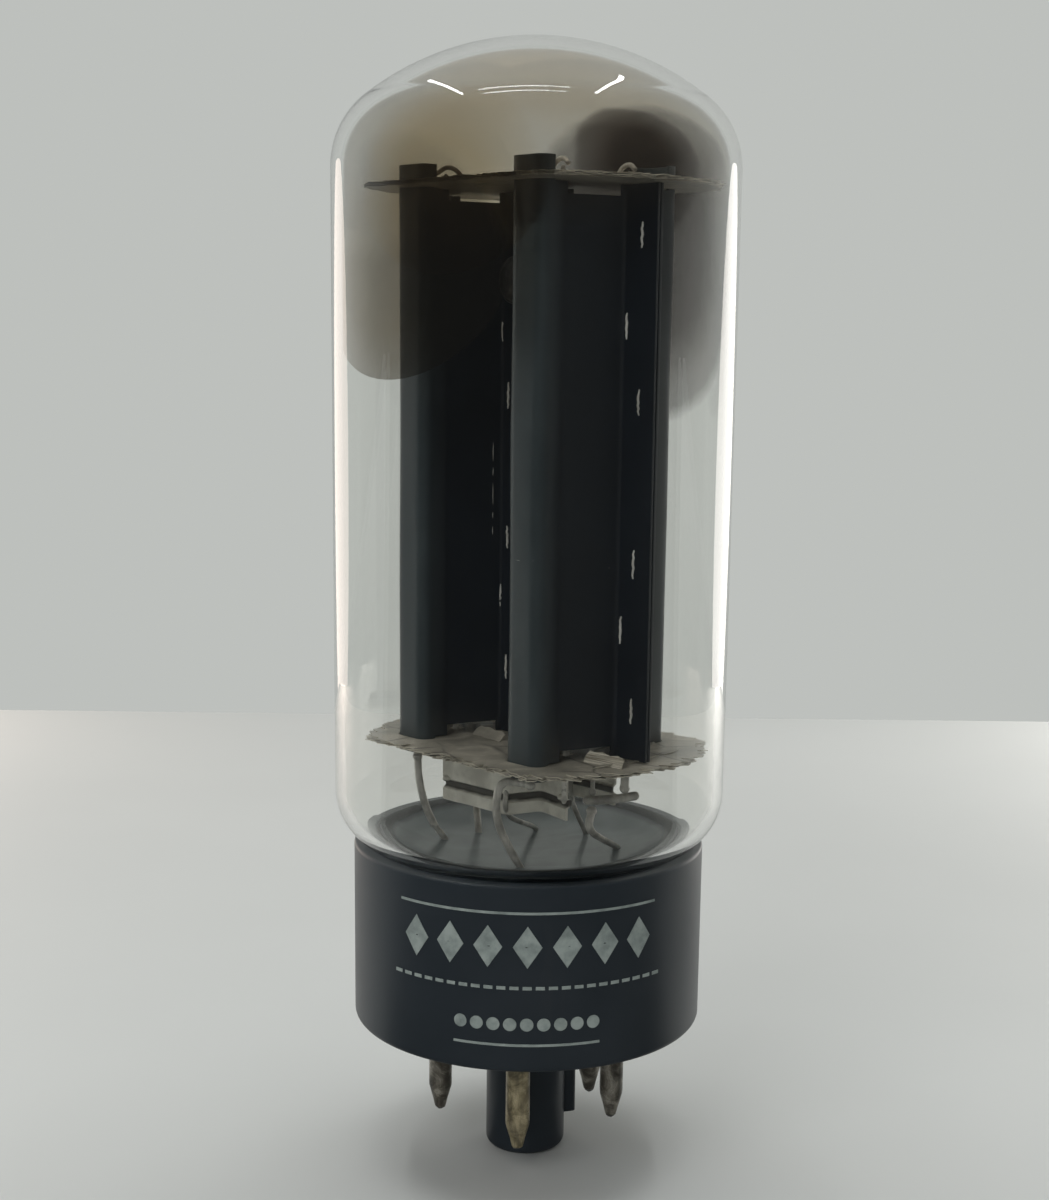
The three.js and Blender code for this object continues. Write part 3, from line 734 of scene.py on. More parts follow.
def strap_material(groove):
    """Nickel strip, darkened along its pressed bead with painted shade."""
    surface = Surface("strap_metal", Metallic=0.1)
    patches = surface.noise(420, 5)
    colour = surface.ramp(patches, [(0.32, (0.60, 0.58, 0.52)), (0.62, (0.90, 0.88, 0.80))])
    away = surface.maths("ABSOLUTE", surface.maths("SUBTRACT", surface.height(), groove * MM), 0)
    wander = surface.maths("MULTIPLY", surface.noise(700, 3), 0.0003)
    # Painted shade: a dark band along the bead's groove, where shade falls in the recess.
    dark_tint = surface.ramp(
        surface.maths("MULTIPLY", surface.maths("ADD", away, wander), 1000),
        [(0.42, 0.92), (0.60, 0.0)],
    )
    surface.paint(
        Base_Color=surface.mix(dark_tint, colour, (0.045, 0.042, 0.038)),
        Roughness=surface.ramp(patches, [(0.3, 0.5), (0.7, 0.34)]),
    )
    surface.bump(surface.noise(2400, 3, where=surface.stretched((1, 1, 0.2))), 0.2, 0.03)
    return surface.material


def oxide_material():
    surface = Surface("oxide_coating")
    crust = surface.noise(2600, 6)
    colour = surface.ramp(crust, [(0.3, (0.42, 0.40, 0.36)), (0.7, (0.82, 0.80, 0.75))])
    surface.paint(Base_Color=colour, Roughness=surface.ramp(crust, [(0.3, 0.95), (0.7, 0.8)]))
    surface.bump(crust, 0.6, 0.06)
    return surface.material


# ---- base ----
def pin_place(number):
    return polar(PIN_CIRCLE, PIN_STEP * (number - 0.5), 0)


def rounded_block(skin, low, high, radius):
    """A block whose upright corners are rounded."""
    corners = [
        *arc(high[0] - radius, high[1] - radius, radius, 0, 90, 6),
        *arc(low[0] + radius, high[1] - radius, radius, 90, 180, 6),
        *arc(low[0] + radius, low[1] + radius, radius, 180, 270, 6),
        *arc(high[0] - radius, low[1] + radius, radius, 270, 360, 6),
    ]
    skin.plate([corners], low[2], high[2], straight)


def build_base(material):
    inner = BASE_R - BASE_WALL
    floor_top = BASE_FOOT + BASE_FLOOR
    bore = PLUG_R - PLUG_WALL
    tip = 0.8
    edge = 0.75
    rim = 0.3
    profile = [
        (0, 0.35), (1.3, 0.35), (1.6, 0), *arc(PLUG_R - tip, tip, tip, -90, 0, 8),
        (PLUG_R, BASE_FOOT - 0.35), *arc(PLUG_R + 0.35, BASE_FOOT - 0.35, 0.35, 180, 90, 4),
        (BASE_R - edge - 2.2, BASE_FOOT), (BASE_R - edge - 2.0, BASE_FOOT + 0.12),
        (BASE_R - edge - 1.2, BASE_FOOT + 0.12), (BASE_R - edge - 1.0, BASE_FOOT),
        *arc(BASE_R - edge, BASE_FOOT + edge, edge, -90, 0, 8), (BASE_R, BASE_FOOT + 6),
        (BASE_R, BASE_TOP - 4), *arc(BASE_R - rim, BASE_TOP - rim, rim, 0, 90, 5),
        *arc(inner + rim, BASE_TOP - rim, rim, 90, 180, 5), (inner, floor_top + 0.6),
        (inner - 0.6, floor_top), (bore, floor_top), (bore, 1.3), (0, 1.3),
    ]
    shell = Skin().lathe(profile, 160, closed=False)
    low = (PLUG_R - 0.6, -KEY_WIDTH / 2, KEY_BOTTOM)
    high = (KEY_R, KEY_WIDTH / 2, BASE_FOOT + 0.3)
    rounded_block(shell, low, high, 0.45)
    for number in PIN_NUMBERS:
        spot = pin_place(number)
        collar = [
            (PIN_R + 0.02, BASE_FOOT + 0.3), (PIN_R + 0.75, BASE_FOOT + 0.3),
            (PIN_R + 0.72, BASE_FOOT - 0.10), (PIN_R + 0.55, BASE_FOOT - 0.20),
            (PIN_R + 0.02, BASE_FOOT - 0.20),
        ]
        shell.lathe(collar, 40, (spot.x, spot.y))
    for number in (3, 5, 7):
        spot = pin_place(number)
        plugged = [
            (0, BASE_FOOT + 0.3), (PIN_R + 0.6, BASE_FOOT + 0.3), (PIN_R + 0.6, BASE_FOOT - 0.12),
            (PIN_R + 0.3, BASE_FOOT - 0.18), (PIN_R + 0.1, BASE_FOOT - 0.02),
            (0, BASE_FOOT - 0.02),
        ]
        shell.lathe(plugged, 40, (spot.x, spot.y), closed=False)
    piece("base_moulding", shell, material, "phenolic", "base_shell", bevel=0.06)


def print_shape(skin, outline, centre, middle_z):
    """One printed mark wrapped round the base, a little proud of it."""
    def wrap(x, y, z):
        return polar(BASE_R + z, centre + math.degrees(x / BASE_R), middle_z + y)

    fine = spaced([*outline, outline[0]], 0.5)[:-1]
    skin.plate([[tuple(v) for v in fine]], -INK_LIFT, INK_LIFT, wrap)


def build_print(material):
    """Plain ornament where such a base carries its stamp: lozenges, dashes, dots and rules."""
    facing = -90 + PHOTO_AZIMUTH
    ink = Skin()
    lozenge = [(-1.35, 0), (0, -2.0), (1.35, 0), (0, 2.0)]
    for k in range(-3, 4):
        print_shape(ink, lozenge, facing + k * 12.2, 26.4)
    for k in range(-11, 12):
        dash = [(-0.42, -0.16), (0.42, -0.16), (0.42, 0.16), (-0.42, 0.16)]
        print_shape(ink, dash, facing + k * 4.0, 22.5)
    for k in range(-4, 5):
        dot = arc(0, 0, 0.62, 0, 345, 23)
        print_shape(ink, dot, facing + k * 5.2, 19.0)
    for z, half in ((29.6, 43), (17.0, 23)):
        path = [polar(BASE_R, facing + half * k / 20, 0).to_2d() for k in range(-20, 21)]
        low, high = z - 0.12, z + 0.12
        section = [(-INK_LIFT, low), (INK_LIFT, low), (INK_LIFT, high), (-INK_LIFT, high)]
        ink.rail(path, section, straight)
    piece("base_print", ink, material, "phenolic")


def build_pins(plain, gilt, solder, copper):
    rng = random.Random(SEED)
    taper = PIN_TIP + 2.5
    for number in PIN_NUMBERS:
        spot = pin_place(number)
        slim = 1 - rng.uniform(0, 0.02)
        profile = [
            (0.46, PIN_TIP + 0.1), (0.54, PIN_TIP + 0.08), (0.62, PIN_TIP + 0.35),
            (0.74, PIN_TIP + 0.9), (1.06 * slim, taper - 0.45), (1.15 * slim, taper - 0.1),
            (PIN_R * slim, taper + 0.3), (PIN_R * slim, BASE_FOOT - 2.5),
            (PIN_R * slim, BASE_FOOT + 0.5), (PIN_R, PIN_TOP - 0.1), (PIN_R - 0.1, PIN_TOP),
            (0.8, PIN_TOP), (0.75, PIN_TOP - 0.1), (0.75, taper + 0.2), (0.42, taper - 1),
        ]
        rod = Skin().lathe(profile, 40, (spot.x, spot.y))
        rod.dent(0.035, 1.1)
        finish = gilt if number == FRONT_PIN else plain
        piece(f"contact_pin_{number}", rod, finish, "plated_pin", f"pin_{number}", sharp=50)
        drop = [
            (0, PIN_TIP - 0.27), (0.24, PIN_TIP - 0.22), (0.44, PIN_TIP - 0.06),
            (0.50, PIN_TIP + 0.12), (0.44, PIN_TIP + 0.3), (0.42, PIN_TIP + 1.4),
            (0, PIN_TIP + 1.6),
        ]
        tip = Skin().lathe(drop, 24, (spot.x, spot.y), closed=False)
        tip.dent(0.09, 1.7)
        piece(f"solder_tip_{number}", tip, solder, "solder", f"pin_solder_{number}", sharp=60)
    for number, lead in ((2, "filament_1"), (4, "anode_a"), (6, "anode_b"), (8, "filament_2")):
        start = polar(LEAD_CIRCLE, LEAD_ANGLES[lead], STEM_TOP - STEM_THICK / 2 - 0.3)
        end = pin_place(number)
        path = [
            start, start - Vector((0, 0, 2.5)), Vector((end.x, end.y, PIN_TOP + 1.5)),
            Vector((end.x, end.y, PIN_TOP - 1)), Vector((end.x, end.y, PIN_TIP + 2.2)),
        ]
        thread = Skin().sweep(smooth_path(path), THIN_WIRE)
        piece(f"pin_thread_{number}", thread, copper, "copper", f"pin_wire_{number}")


def build_cement(material):
    outside = BASE_R - BASE_WALL - 0.12
    inside = NECK_R + 0.12
    profile = [
        (inside, NECK_BOTTOM - 0.4), (outside, NECK_BOTTOM), (outside, BASE_TOP - 0.9),
        (outside - 0.25, BASE_TOP - 0.7), (inside, BASE_TOP - 1.1),
    ]
    ring = Skin().lathe(profile, 160)
    for point in ring.points:
        if point.z > BASE_TOP - 3:
            point.z += 0.35 * noise.noise(point * 0.9) + 0.12 * noise.noise(point * 3.1)
    piece("cement_ring", ring, material, "cement", "base_cement", sharp=60)


# ---- glass ----
def bulb_skin(inset, fine=1):
    """One skin of the bulb from the top of the dome down to the neck, moved in by inset."""
    shoulder_x = BULB_R - SHOULDER_R
    rise = math.sqrt((CAP_R - SHOULDER_R) ** 2 - shoulder_x**2)
    cap_z = BULB_TOP - CAP_R
    meet = math.degrees(math.atan2(rise, shoulder_x))
    end = math.radians(-CORNER_SWEEP)
    corner = (
        BULB_R - CORNER_R + (CORNER_R - inset) * math.cos(end),
        CORNER_Z + (CORNER_R - inset) * math.sin(end),
    )
    neck = NECK_R - inset
    wall = BULB_R - inset
    return [
        (0, BULB_TOP - inset),
        *arc(0, cap_z, CAP_R - inset, 90, meet, 12 * fine)[1:],
        *arc(shoulder_x, cap_z + rise, SHOULDER_R - inset, meet, 0, 14 * fine)[1:],
        *((wall, CORNER_Z + (cap_z + rise - CORNER_Z) * k / 10) for k in range(9, 0, -1)),
        *arc(BULB_R - CORNER_R, CORNER_Z, CORNER_R - inset, 0, -CORNER_SWEEP, 12),
        ((corner[0] + 2 * neck) / 3, corner[1] - 0.25),
        (neck + 0.12, corner[1] - 0.6),
        (neck, corner[1] - 1.1),
        (neck, NECK_BOTTOM + 1.5),
    ]


def build_bulb(material):
    outside = bulb_skin(0)
    inside = bulb_skin(BULB_WALL)[::-1]
    lip = arc(NECK_R - BULB_WALL / 2, NECK_BOTTOM, BULB_WALL / 2, 0, -180, 6)
    body = Skin().lathe([*outside, *lip, *inside], 144, closed=False)
    piece("blown_bulb", body, material, "glass", "glass_bulb", sharp=60)


def build_stem(material):
    low = STEM_TOP - STEM_THICK
    bore = EXHAUST_R - 0.7
    skin_end = math.radians(-CORNER_SWEEP)
    bowl_x = BULB_R - CORNER_R + (CORNER_R - BULB_WALL - 0.1) * math.cos(skin_end)
    bowl_z = CORNER_Z + (CORNER_R - BULB_WALL - 0.1) * math.sin(skin_end)
    profile = [
        (0, low + 0.3), (bore, low), (STEM_R - 0.9, low),
        *arc(STEM_R - 0.8, low + 0.8, 0.8, -80, 0, 5), (STEM_R, bowl_z - 1.3),
        (STEM_R + 0.1, bowl_z - 0.75), (bowl_x - 0.7, bowl_z - 0.22), (bowl_x, bowl_z),
        (bowl_x - 0.3, bowl_z), (bowl_x - 1.4, bowl_z - 0.45), (STEM_R - 1.2, STEM_TOP + 1.0),
        (LEAD_CIRCLE + 1.8, STEM_TOP + 0.5), (LEAD_CIRCLE, STEM_TOP + 0.25),
        (LEAD_CIRCLE - 2.5, STEM_TOP + 0.1), (2.5, STEM_TOP), (0, STEM_TOP),
    ]
    disc = Skin().lathe(profile, 128, closed=False)
    piece("stem_disc", disc, material, "glass", "button_stem", sharp=60)
    shoulder = EXHAUST_TIP + 3.5
    pipe_top = low - 0.1
    profile = [
        (0, EXHAUST_TIP), (0.3, EXHAUST_TIP + 0.1), (0.55, EXHAUST_TIP + 0.5),
        (0.9, EXHAUST_TIP + 1.4), (1.7, shoulder - 1.1), (2.08, shoulder - 0.4),
        (EXHAUST_R, shoulder + 0.4), (EXHAUST_R, pipe_top), (bore, pipe_top), (bore, shoulder),
        (1.0, shoulder - 0.7), (0, shoulder - 1.2),
    ]
    pipe = Skin().lathe(profile, 48, closed=False)
    piece("exhaust_seal", pipe, material, "glass", "exhaust_tip", sharp=60)


def along_skin(profile, distance):
    """The (radius, height) point a distance down a profile."""
    for (r0, z0), (r1, z1) in zip(profile, profile[1:]):
        step = math.hypot(r1 - r0, z1 - z0)
        if distance <= step:
            t = distance / step
            return r0 + (r1 - r0) * t, z0 + (z1 - z0) * t
        distance -= step
    return profile[-1]


def film_patch(angle, height, radius, inset):
    """A thin round patch of film lying on the inner skin of the bulb."""
    rings = 16
    spokes = 72
    points = []
    for layer in (0, 1):
        profile = bulb_skin(BULB_WALL + inset + layer * FILM_THICK, 2)
        depth = 0
        for (r0, z0), (r1, z1) in zip(profile, profile[1:]):
            if z1 < height:
                break
            depth += math.hypot(r1 - r0, z1 - z0)
        for ring in range(rings + 1):
            for spoke in range(spokes):
                turn = 2 * math.pi * spoke / spokes
                size = radius * ring / rings
                r, z = along_skin(profile, max(depth - size * math.sin(turn), 0.5))
                swing = size * math.cos(turn) / (BULB_R - BULB_WALL)
                points.append(polar(r, angle + math.degrees(swing), z))
    faces = []
    back = (rings + 1) * spokes
    for ring in range(rings):
        for spoke in range(spokes):
            j = (spoke + 1) % spokes
            first = ring * spokes
            face = [first + spoke, first + j, first + spokes + j, first + spokes + spoke]
            faces.append(face)
            faces.append([back + v for v in reversed(face)])
    last = rings * spokes
    for spoke in range(spokes):
        j = (spoke + 1) % spokes
        faces.append([last + spoke, last + j, back + last + j, back + last + spoke])
    return Skin().add(points, faces)


def build_flash():
    """The getter's metal film: one dark patch in front of each pan and a haze in the dome."""
    wall = BULB_R - BULB_WALL
    dense = [(0.0, 0.62), (0.45, 0.55), (0.74, 0.34), (0.88, 0.30), (0.97, 0.0)]
    light = [(0.0, 0.46), (0.5, 0.42), (0.72, 0.36), (0.88, 0.34), (0.97, 0.0)]
    veil = [(0.0, 0.13), (0.35, 0.11), (0.97, 0.0)]
    patches = (
        ("flash_rear_crown", 33, 98.5, 8.5, dense, (0.014, 0.011, 0.010), (0.86, 0.80, 0.77)),
        ("flash_front_crown", 226, 93.0, 9.5, veil, (0.22, 0.15, 0.07), (0.94, 0.88, 0.77)),
        ("flash_front", 207.5, 86.5, 12.5, light, (0.012, 0.010, 0.008), (0.94, 0.88, 0.79)),
        ("flash_rear", 26.5, 89.0, 17.0, dense, (0.012, 0.011, 0.010), (0.90, 0.87, 0.86)),
    )
    for name, angle, height, radius, stops, colour, dark_tint in patches:
        fade = (88, 99) if name == "flash_front" else (150, 160)
        film = film_material(name, polar(wall, angle, height), radius, stops, colour, dark_tint, fade)
        lift = 0.12 if name.endswith("crown") else 0.05
        piece(name, film_patch(angle, height, radius * 1.05, lift), film, "glass")
    haze_foot = 90
    outer = [v for v in bulb_skin(BULB_WALL + 0.20, 2) if v[1] > haze_foot]
    inner = [v for v in bulb_skin(BULB_WALL + 0.20 + FILM_THICK, 2) if v[1] > haze_foot][::-1]
    haze = Skin().lathe([*outer, *inner], 96, closed=False)
    stops = [(0.0, 0.03), (0.6, 0.05), (0.85, 0.09), (0.99, 0.0)]
    centre = Vector((0, 0, BULB_TOP - 1))
    brown = (0.940, 0.905, 0.855)
    film = film_material("dome_haze", centre, 25, stops, (0.10, 0.08, 0.06), brown)
    piece("dome_haze", haze, film, "glass")


# ---- micas ----
def ragged(outline, amount, scale, seed):
    """An outline whose points wander inwards, as a split sheet's rim does."""
    result = []
    for x, y in (tuple(v) for v in spaced([*outline, outline[0]], 0.35)[:-1]):
        spot = Vector((x, y, seed * 7.3))
        bite = abs(noise.noise(spot * scale)) + 0.6 * abs(noise.noise(spot * scale * 4.1))
        share = 1 - amount * bite / max(math.hypot(x, y), 1)
        result.append((x * share, y * share))
    return result


def mica_outline(shrink):
    r = MICA_R - shrink
    half = MICA_HALF_WIDTH - shrink
    end = math.degrees(math.atan2(half, math.sqrt(r**2 - half**2)))
    return [
        *arc(MICA_SHIFT, 0, r, -end, end, 40),
        *arc(MICA_SHIFT, 0, r, 180 - end, 180 + end, 40),
    ]


def nose_path():
    """The bend of one anode half round its nose, in plan, from root to root."""
    edge = NOSE_Q - SHEET / 2
    corners = [(NOSE_HALF_WIDTH, TAB_Q - 0.1), (NOSE_HALF_WIDTH, edge), (-NOSE_HALF_WIDTH, edge)]
    corners.append((-NOSE_HALF_WIDTH, TAB_Q - 0.1))
    return rounded(corners, (0, 0.9, 0.9, 0))


def nose_slot(outward, side, grow):
    path = nose_path()
    half = SHEET / 2 + grow
    rims = {-1: [], 1: []}
    for i, here in enumerate(path):
        ahead = path[min(i + 1, len(path) - 1)] - path[max(i - 1, 0)]
        across = Vector((-ahead.y, ahead.x)).normalized()
        for way in rims:
            rims[way].append(here + across * half * way)
    loop = rims[1] + rims[-1][::-1]
    return [(outward * (v.x + ANODE_P), side * v.y) for v in loop]


def round_hole(p, q, r):
    return arc(p, q, r, 0, 345, 23)


def box_hole(p, q, half_p, half_q):
    return [
        (p - half_p, q - half_q), (p + half_p, q - half_q), (p + half_p, q + half_q),
        (p - half_p, q + half_q),
    ]


def hook_places():
    return [(out * ANODE_P, side * HOOK_Q) for out in ANODES.values() for side in SIDES.values()]


def mica_holes(upper, grow):
    holes = [nose_slot(out, side, 0.06 + grow) for out in ANODES.values() for side in SIDES.values()]
    for p, q in hook_places():
        if upper:
            holes.append(round_hole(p, q, 0.5 + grow))
            continue
        holes += [box_hole(p, q + way * LEG_SPREAD, 0.4 + grow, 0.7) for way in (-1, 1)]
    if upper:
        holes += [round_hole(0, side * GETTER_Q, 0.5 + grow) for side in SIDES.values()]
    return holes


def tilted(p, q, z, turn, rise):
    """Carries a flat outline to a place on a mica, turned in plan and raised at its far end."""
    plan = Matrix.Translation((p, q, z)) @ Matrix.Rotation(math.radians(turn), 4, "Z")
    return plan @ Matrix.Rotation(math.radians(-rise), 4, "Y")


def flake(skin, p, q, z, length, width, turn, rise):
    """A torn sliver of mica that stands off the sheet at one end."""
    edge = [(0, -0.5), (0.6, -0.4), (1.0, 0), (0.5, 0.5), (0, 0.3)]
    outline = [(length * x, width * y) for x, y in edge]
    skin.plate([outline], 0, 0.05, mount, tilted(p, q, z, turn, rise))


def flap(skin, p, q, z, length, width, turn, rise):
    """A lip of mica lifted beside an anode's foot, with an uneven top edge."""
    edge = [(0, -0.5), (0.75, -0.5), (0.95, -0.3), (0.82, -0.12), (1.0, 0.1)]
    edge += [(0.9, 0.32), (0.97, 0.44), (0.6, 0.5), (0, 0.5)]
    outline = [(length * x, width * y) for x, y in edge]
    skin.plate([outline], 0, 0.08, mount, tilted(p, q, z, turn, rise))


def build_mica(name, node, low, upper, seed, material):
    """One mica: four split layers with ragged rims and holes, lips on the lower one, flakes."""
    layers = 4
    step = MICA_THICK / layers
    skin = Skin()
    rng = random.Random(seed)
    for k in range(layers):
        shrink = rng.uniform(0.02, 0.16) if k in (0, layers - 1) else 0.0
        outline = ragged(mica_outline(shrink), 1.9, 0.8, seed + 3 * k)
        grow = rng.uniform(0.0, 0.10)
        holes = mica_holes(upper, grow)
        skin.plate([outline, *holes], low + k * step + SPLIT, low + (k + 1) * step - SPLIT, mount)
    face = low + MICA_THICK
    for turn in (1, -1) if not upper else ():
        for out in ANODES.values():
            p, q = turn * (out * ANODE_P + 5.4), turn * -3.6
            flap(skin, p, q, face - 0.03, 1.25, 4.3, turn * 90 + 5 * out, 50 + 8 * out)
    for _ in range(18):
        angle = rng.uniform(0, 2 * math.pi)
        reach = rng.uniform(6.5, 12)
        p, q = reach * 1.25 * math.cos(angle), reach * math.sin(angle)
        turn = math.degrees(angle) + rng.uniform(60, 120)
        length = rng.uniform(1.2, 3.4)
        flake(skin, p, q, face - 0.02, length, rng.uniform(0.4, 0.9), turn, rng.uniform(3, 11))
    piece(name, skin, material, "mica", node, sharp=30)


# ---- anodes ----
def anode_path():
    edge = NOSE_Q - SHEET / 2
    corners = [
        (OUTER_FLANGE_P, FLANGE_Q), (WEB_ROOT_P, FLANGE_Q), (NOSE_HALF_WIDTH + 0.05, NOSE_ROOT_Q),
        (NOSE_HALF_WIDTH, edge), (-NOSE_HALF_WIDTH, edge), (-NOSE_HALF_WIDTH - 0.05, NOSE_ROOT_Q),
        (-WEB_ROOT_P, FLANGE_Q), (-INNER_FLANGE_P, FLANGE_Q),
    ]
    return spaced(rounded(corners, (0, 0.45, 0.4, 0.9, 0.9, 0.4, 0.45, 0)), 0.7)


def build_anode_half(letter, outward, side_name, side, material):
    low = LOWER_MICA + MICA_THICK + 0.1
    high = UPPER_MICA - 0.1
    notch = 1.0
    levels = [TAB_BOTTOM, (TAB_BOTTOM + low) / 2, low, low + notch]
    count = 26
    inner_low, inner_high = low + notch, high - notch
    levels += [inner_low + (inner_high - inner_low) * k / count for k in range(1, count)]
    levels += [inner_high, high, (high + TAB_TOP) / 2, TAB_TOP]

    def keep(spot, z):
        if z < low or z > high:
            return spot.y > TAB_Q
        if z < inner_low or z > inner_high:
            return not (2.05 < abs(spot.x) < 4.5 and 0.6 < spot.y < NOSE_ROOT_Q - 0.1)
        return True

    def relief(spot, z):
        wave = noise.noise(Vector((spot.x * 0.25 + outward * 9, spot.y * 0.3 + side * 5, z * 0.07)))
        flange = 0.3 if spot.y < 1 else 1.0
        return 0.10 * wave * flange

    def place(x, y, z):
        return mount(outward * (x + ANODE_P), side * y, z)

    skin = Skin().sheet(anode_path(), levels, SHEET, keep, place, relief)
    node = f"anode_{letter}_{side_name}"
    piece(f"plate_{letter}_{side_name}", skin, material, "carbonised_metal", node, bevel=0.05)


def build_lances(material):
    """The bright slits where each pair of flanges is staked together."""
    rng = random.Random(SEED + 3)
    outer_rows = ((89.8, 1.7), (81.9, 3.3), (75.2, 1.7), (60.6, 1.9), (54.4, 3.3), (47.0, 1.8))
    inner_rows = ((81.5, 2.4), (75.3, 1.5), (61.7, 1.5), (55.9, 2.4), (48.9, 1.5))
    for letter, outward in ANODES.items():
        skin = Skin()
        rows = [(OUTER_FLANGE_P - inset, z) for z, inset in outer_rows]
        rows += [(-INNER_FLANGE_P + inset, z) for z, inset in inner_rows]
        for along, z in rows:
            p = outward * (ANODE_P + along)
            for side in SIDES.values():
                q = side * (FLANGE_Q + SHEET / 2 + 0.02)
                half = rng.uniform(1.0, 1.25)
                steps = 9
                spots = []
                for k in range(steps):
                    jag = rng.uniform(-0.07, 0.07)
                    spots.append(mount(p + jag, q, z - half + 2 * half * k / (steps - 1)))
                skin.sweep(spots, 0.15, 8, 0.9, 0.4)
        piece(f"flange_stakes_{letter}", skin, material, "nickel")


def build_scratches(material):
    """Hair-thin bright scratches: one across a nose, one down the web beside it."""
    rng = random.Random(SEED + 8)
    skin = Skin()
    across = []
    for k in range(14):
        p = ANODE_P - 0.9 + 2.4 * k / 13
        across.append(mount(p, -NOSE_Q - 0.005, 61.0 + rng.uniform(-0.12, 0.12) + 0.25 * k / 13))
    skin.sweep(across, 0.035, 6, 0.8, 0.8)
    for start, stop in ((70.8, 69.0), (68.4, 67.6), (66.9, 64.8), (64.1, 63.5), (62.7, 61.9)):
        down = []
        for k in range(6):
            z = start + (stop - start) * k / 5
            down.append(mount(-ANODE_P + 3.62 + rng.uniform(-0.02, 0.02), -1.3, z))
        skin.sweep(down, 0.04, 6, 0.8, 0.8)
    piece("plate_scratches", skin, material, "nickel")


# ---- filaments and fittings ----
def build_filaments(coat, metal):
    for letter, outward in ANODES.items():
        for side_name, side in SIDES.items():
            p, q = outward * ANODE_P, side * HOOK_Q
            tag = f"{letter}_{side_name}"
            foot = LOWER_MICA - 0.6
            knee = RIBBON_TOP - 0.6
            legs = [(-LEG_SPREAD, foot), (-0.5, knee), (0, RIBBON_TOP), (0.5, knee), (LEG_SPREAD, foot)]
            path = spaced(rounded(legs, (0, 0.35, 0.35, 0.35, 0)), 1.5)
            ribbon = Skin().sweep([mount(p, q + s, z) for s, z in path], 0.34, 12, 0.38)
            ribbon.dent(0.03, 0.9)
            piece(f"ribbon_{tag}", ribbon, coat, "oxide_coating", f"filament_{tag}", sharp=60)
            eye = RIBBON_TOP + 0.7
            hook = [
                mount(p - 0.95, q, eye - 1.1), mount(p - 0.9, q, eye - 0.2),
                mount(p - 0.55, q, eye + 0.5), mount(p, q, eye + 0.9), mount(p, q, eye + 2.5),
                mount(p, q, UPPER_MICA + MICA_THICK + 0.9),
            ]
            wire = Skin().sweep(smooth_path(hook), THIN_WIRE)
            piece(f"hook_{tag}", wire, metal, "nickel", f"filament_hook_{tag}")
            floor = UPPER_MICA + MICA_THICK + THIN_WIRE + 0.1
            away = -outward
            bow = [
                mount(p + away * 3.1, q + 0.9, floor), mount(p + away * 2.4, q + 0.6, floor),
                mount(p + away * 1.1, q + 0.2, floor + 1.1), mount(p, q, floor + 1.35),
                mount(p - away * 0.9, q - 0.3, floor + 0.9),
            ]
            spring = Skin().sweep(smooth_path(bow), THIN_WIRE)
            spring.bead(mount(p + away * 3.0, q + 0.86, floor + 0.05), 0.34, 0.7)
            piece(f"spring_{tag}", spring, metal, "nickel", f"tension_spring_{tag}")


def build_straps(material):
    """The cranked strips on edge under the lower mica, each with a pressed bead."""
    high = LOWER_MICA - 0.3
    low = high - STRAP_HEIGHT - STRAP_DROP
    half = SHEET / 2
    groove = STRAP_GROOVE
    press = 0.42
    bead = [
        (0.0, groove - 0.5), (press, groove - 0.22), (press, groove + 0.22), (0.0, groove + 0.5),
    ]
    section = [
        (-half, low + 0.06), (-half + 0.06, low), (half - 0.06, low), (half, low + 0.06),
        *((half + shift, z) for shift, z in bead), (half, high - 0.06), (half - 0.06, high),
        (-half + 0.06, high), (-half, high - 0.06),
        *((-half + shift, z) for shift, z in reversed(bead)),
    ]
    corners = [(-6.6, -5.4), (2.15, -5.0), (3.35, -1.6), (7.5, -2.3)]
    for number, turn in ((1, 1), (2, -1)):
        path = spaced(rounded([(turn * p, turn * q) for p, q in corners], (0, 0.7, 0.7, 0)), 1.0)
        strip = Skin().rail(path, section, mount)
        strip.dent(0.05, 0.35)
        for p, q in ((-6.0, -5.55), (6.9, -2.4), (1.6, -4.8)):
            strip.bead(mount(turn * p, turn * q, low + 2.2), 0.42, 0.8)
        piece(f"strap_{number}", strip, material, "nickel", f"filament_strap_{number}", sharp=30)


def build_links(material):
    ceiling = LOWER_MICA - THIN_WIRE - 0.2
    for letter, turn in ANODES.items():
        p = turn * (ANODE_P + 1.5)
        near, far = turn * -4.5, turn * -0.7
        bend = turn * 0.4
        spots = [
            mount(p, near, ceiling - 3.2), mount(p, near, ceiling - 0.5),
            mount(p, near + bend, ceiling), mount(p, far - bend, ceiling),
            mount(p, far, ceiling - 0.5), mount(p, far, ceiling - 3.2),
        ]
        staple = Skin().sweep(smooth_path(spots, 10), THIN_WIRE)
        staple.bead(mount(p, near, ceiling - 2.9), 0.36)
        staple.bead(mount(p, far, ceiling - 2.9), 0.36)
        piece(f"link_{letter}", staple, material, "nickel", f"filament_link_{letter}")
        post_p = turn * (ANODE_P + 4.9)
        foot = CROSS_ROD_Z + THICK_WIRE + 0.1
        head = LOWER_MICA - 0.2
        heights = (foot + 0.3, (foot + head) / 2, head - 0.3)
        spots = [mount(post_p, bow, z) for bow, z in zip((0, 0.03, 0), heights)]
        post = Skin().sweep(smooth_path(spots, 6), THICK_WIRE * 0.96)
        post.bead(mount(post_p, 0, foot + 0.35), THICK_WIRE * 1.15)
        piece(f"support_post_{letter}", post, material, "nickel", f"support_rod_{letter}")
        spots = [
            mount(turn * (ANODE_P + 5.3), turn * 1.0, CROSS_ROD_Z + 0.05),
            mount(turn * (CROSS_ROD_P + 1), turn * -1.6, CROSS_ROD_Z),
            mount(turn * (CROSS_ROD_P - 0.2), turn * (-CROSS_ROD_Q - 0.4), CROSS_ROD_Z),
        ]
        bar = Skin().sweep(smooth_path(spots, 10), THICK_WIRE)
        piece(f"tie_bar_{letter}", bar, material, "nickel", f"cross_rod_{letter}")


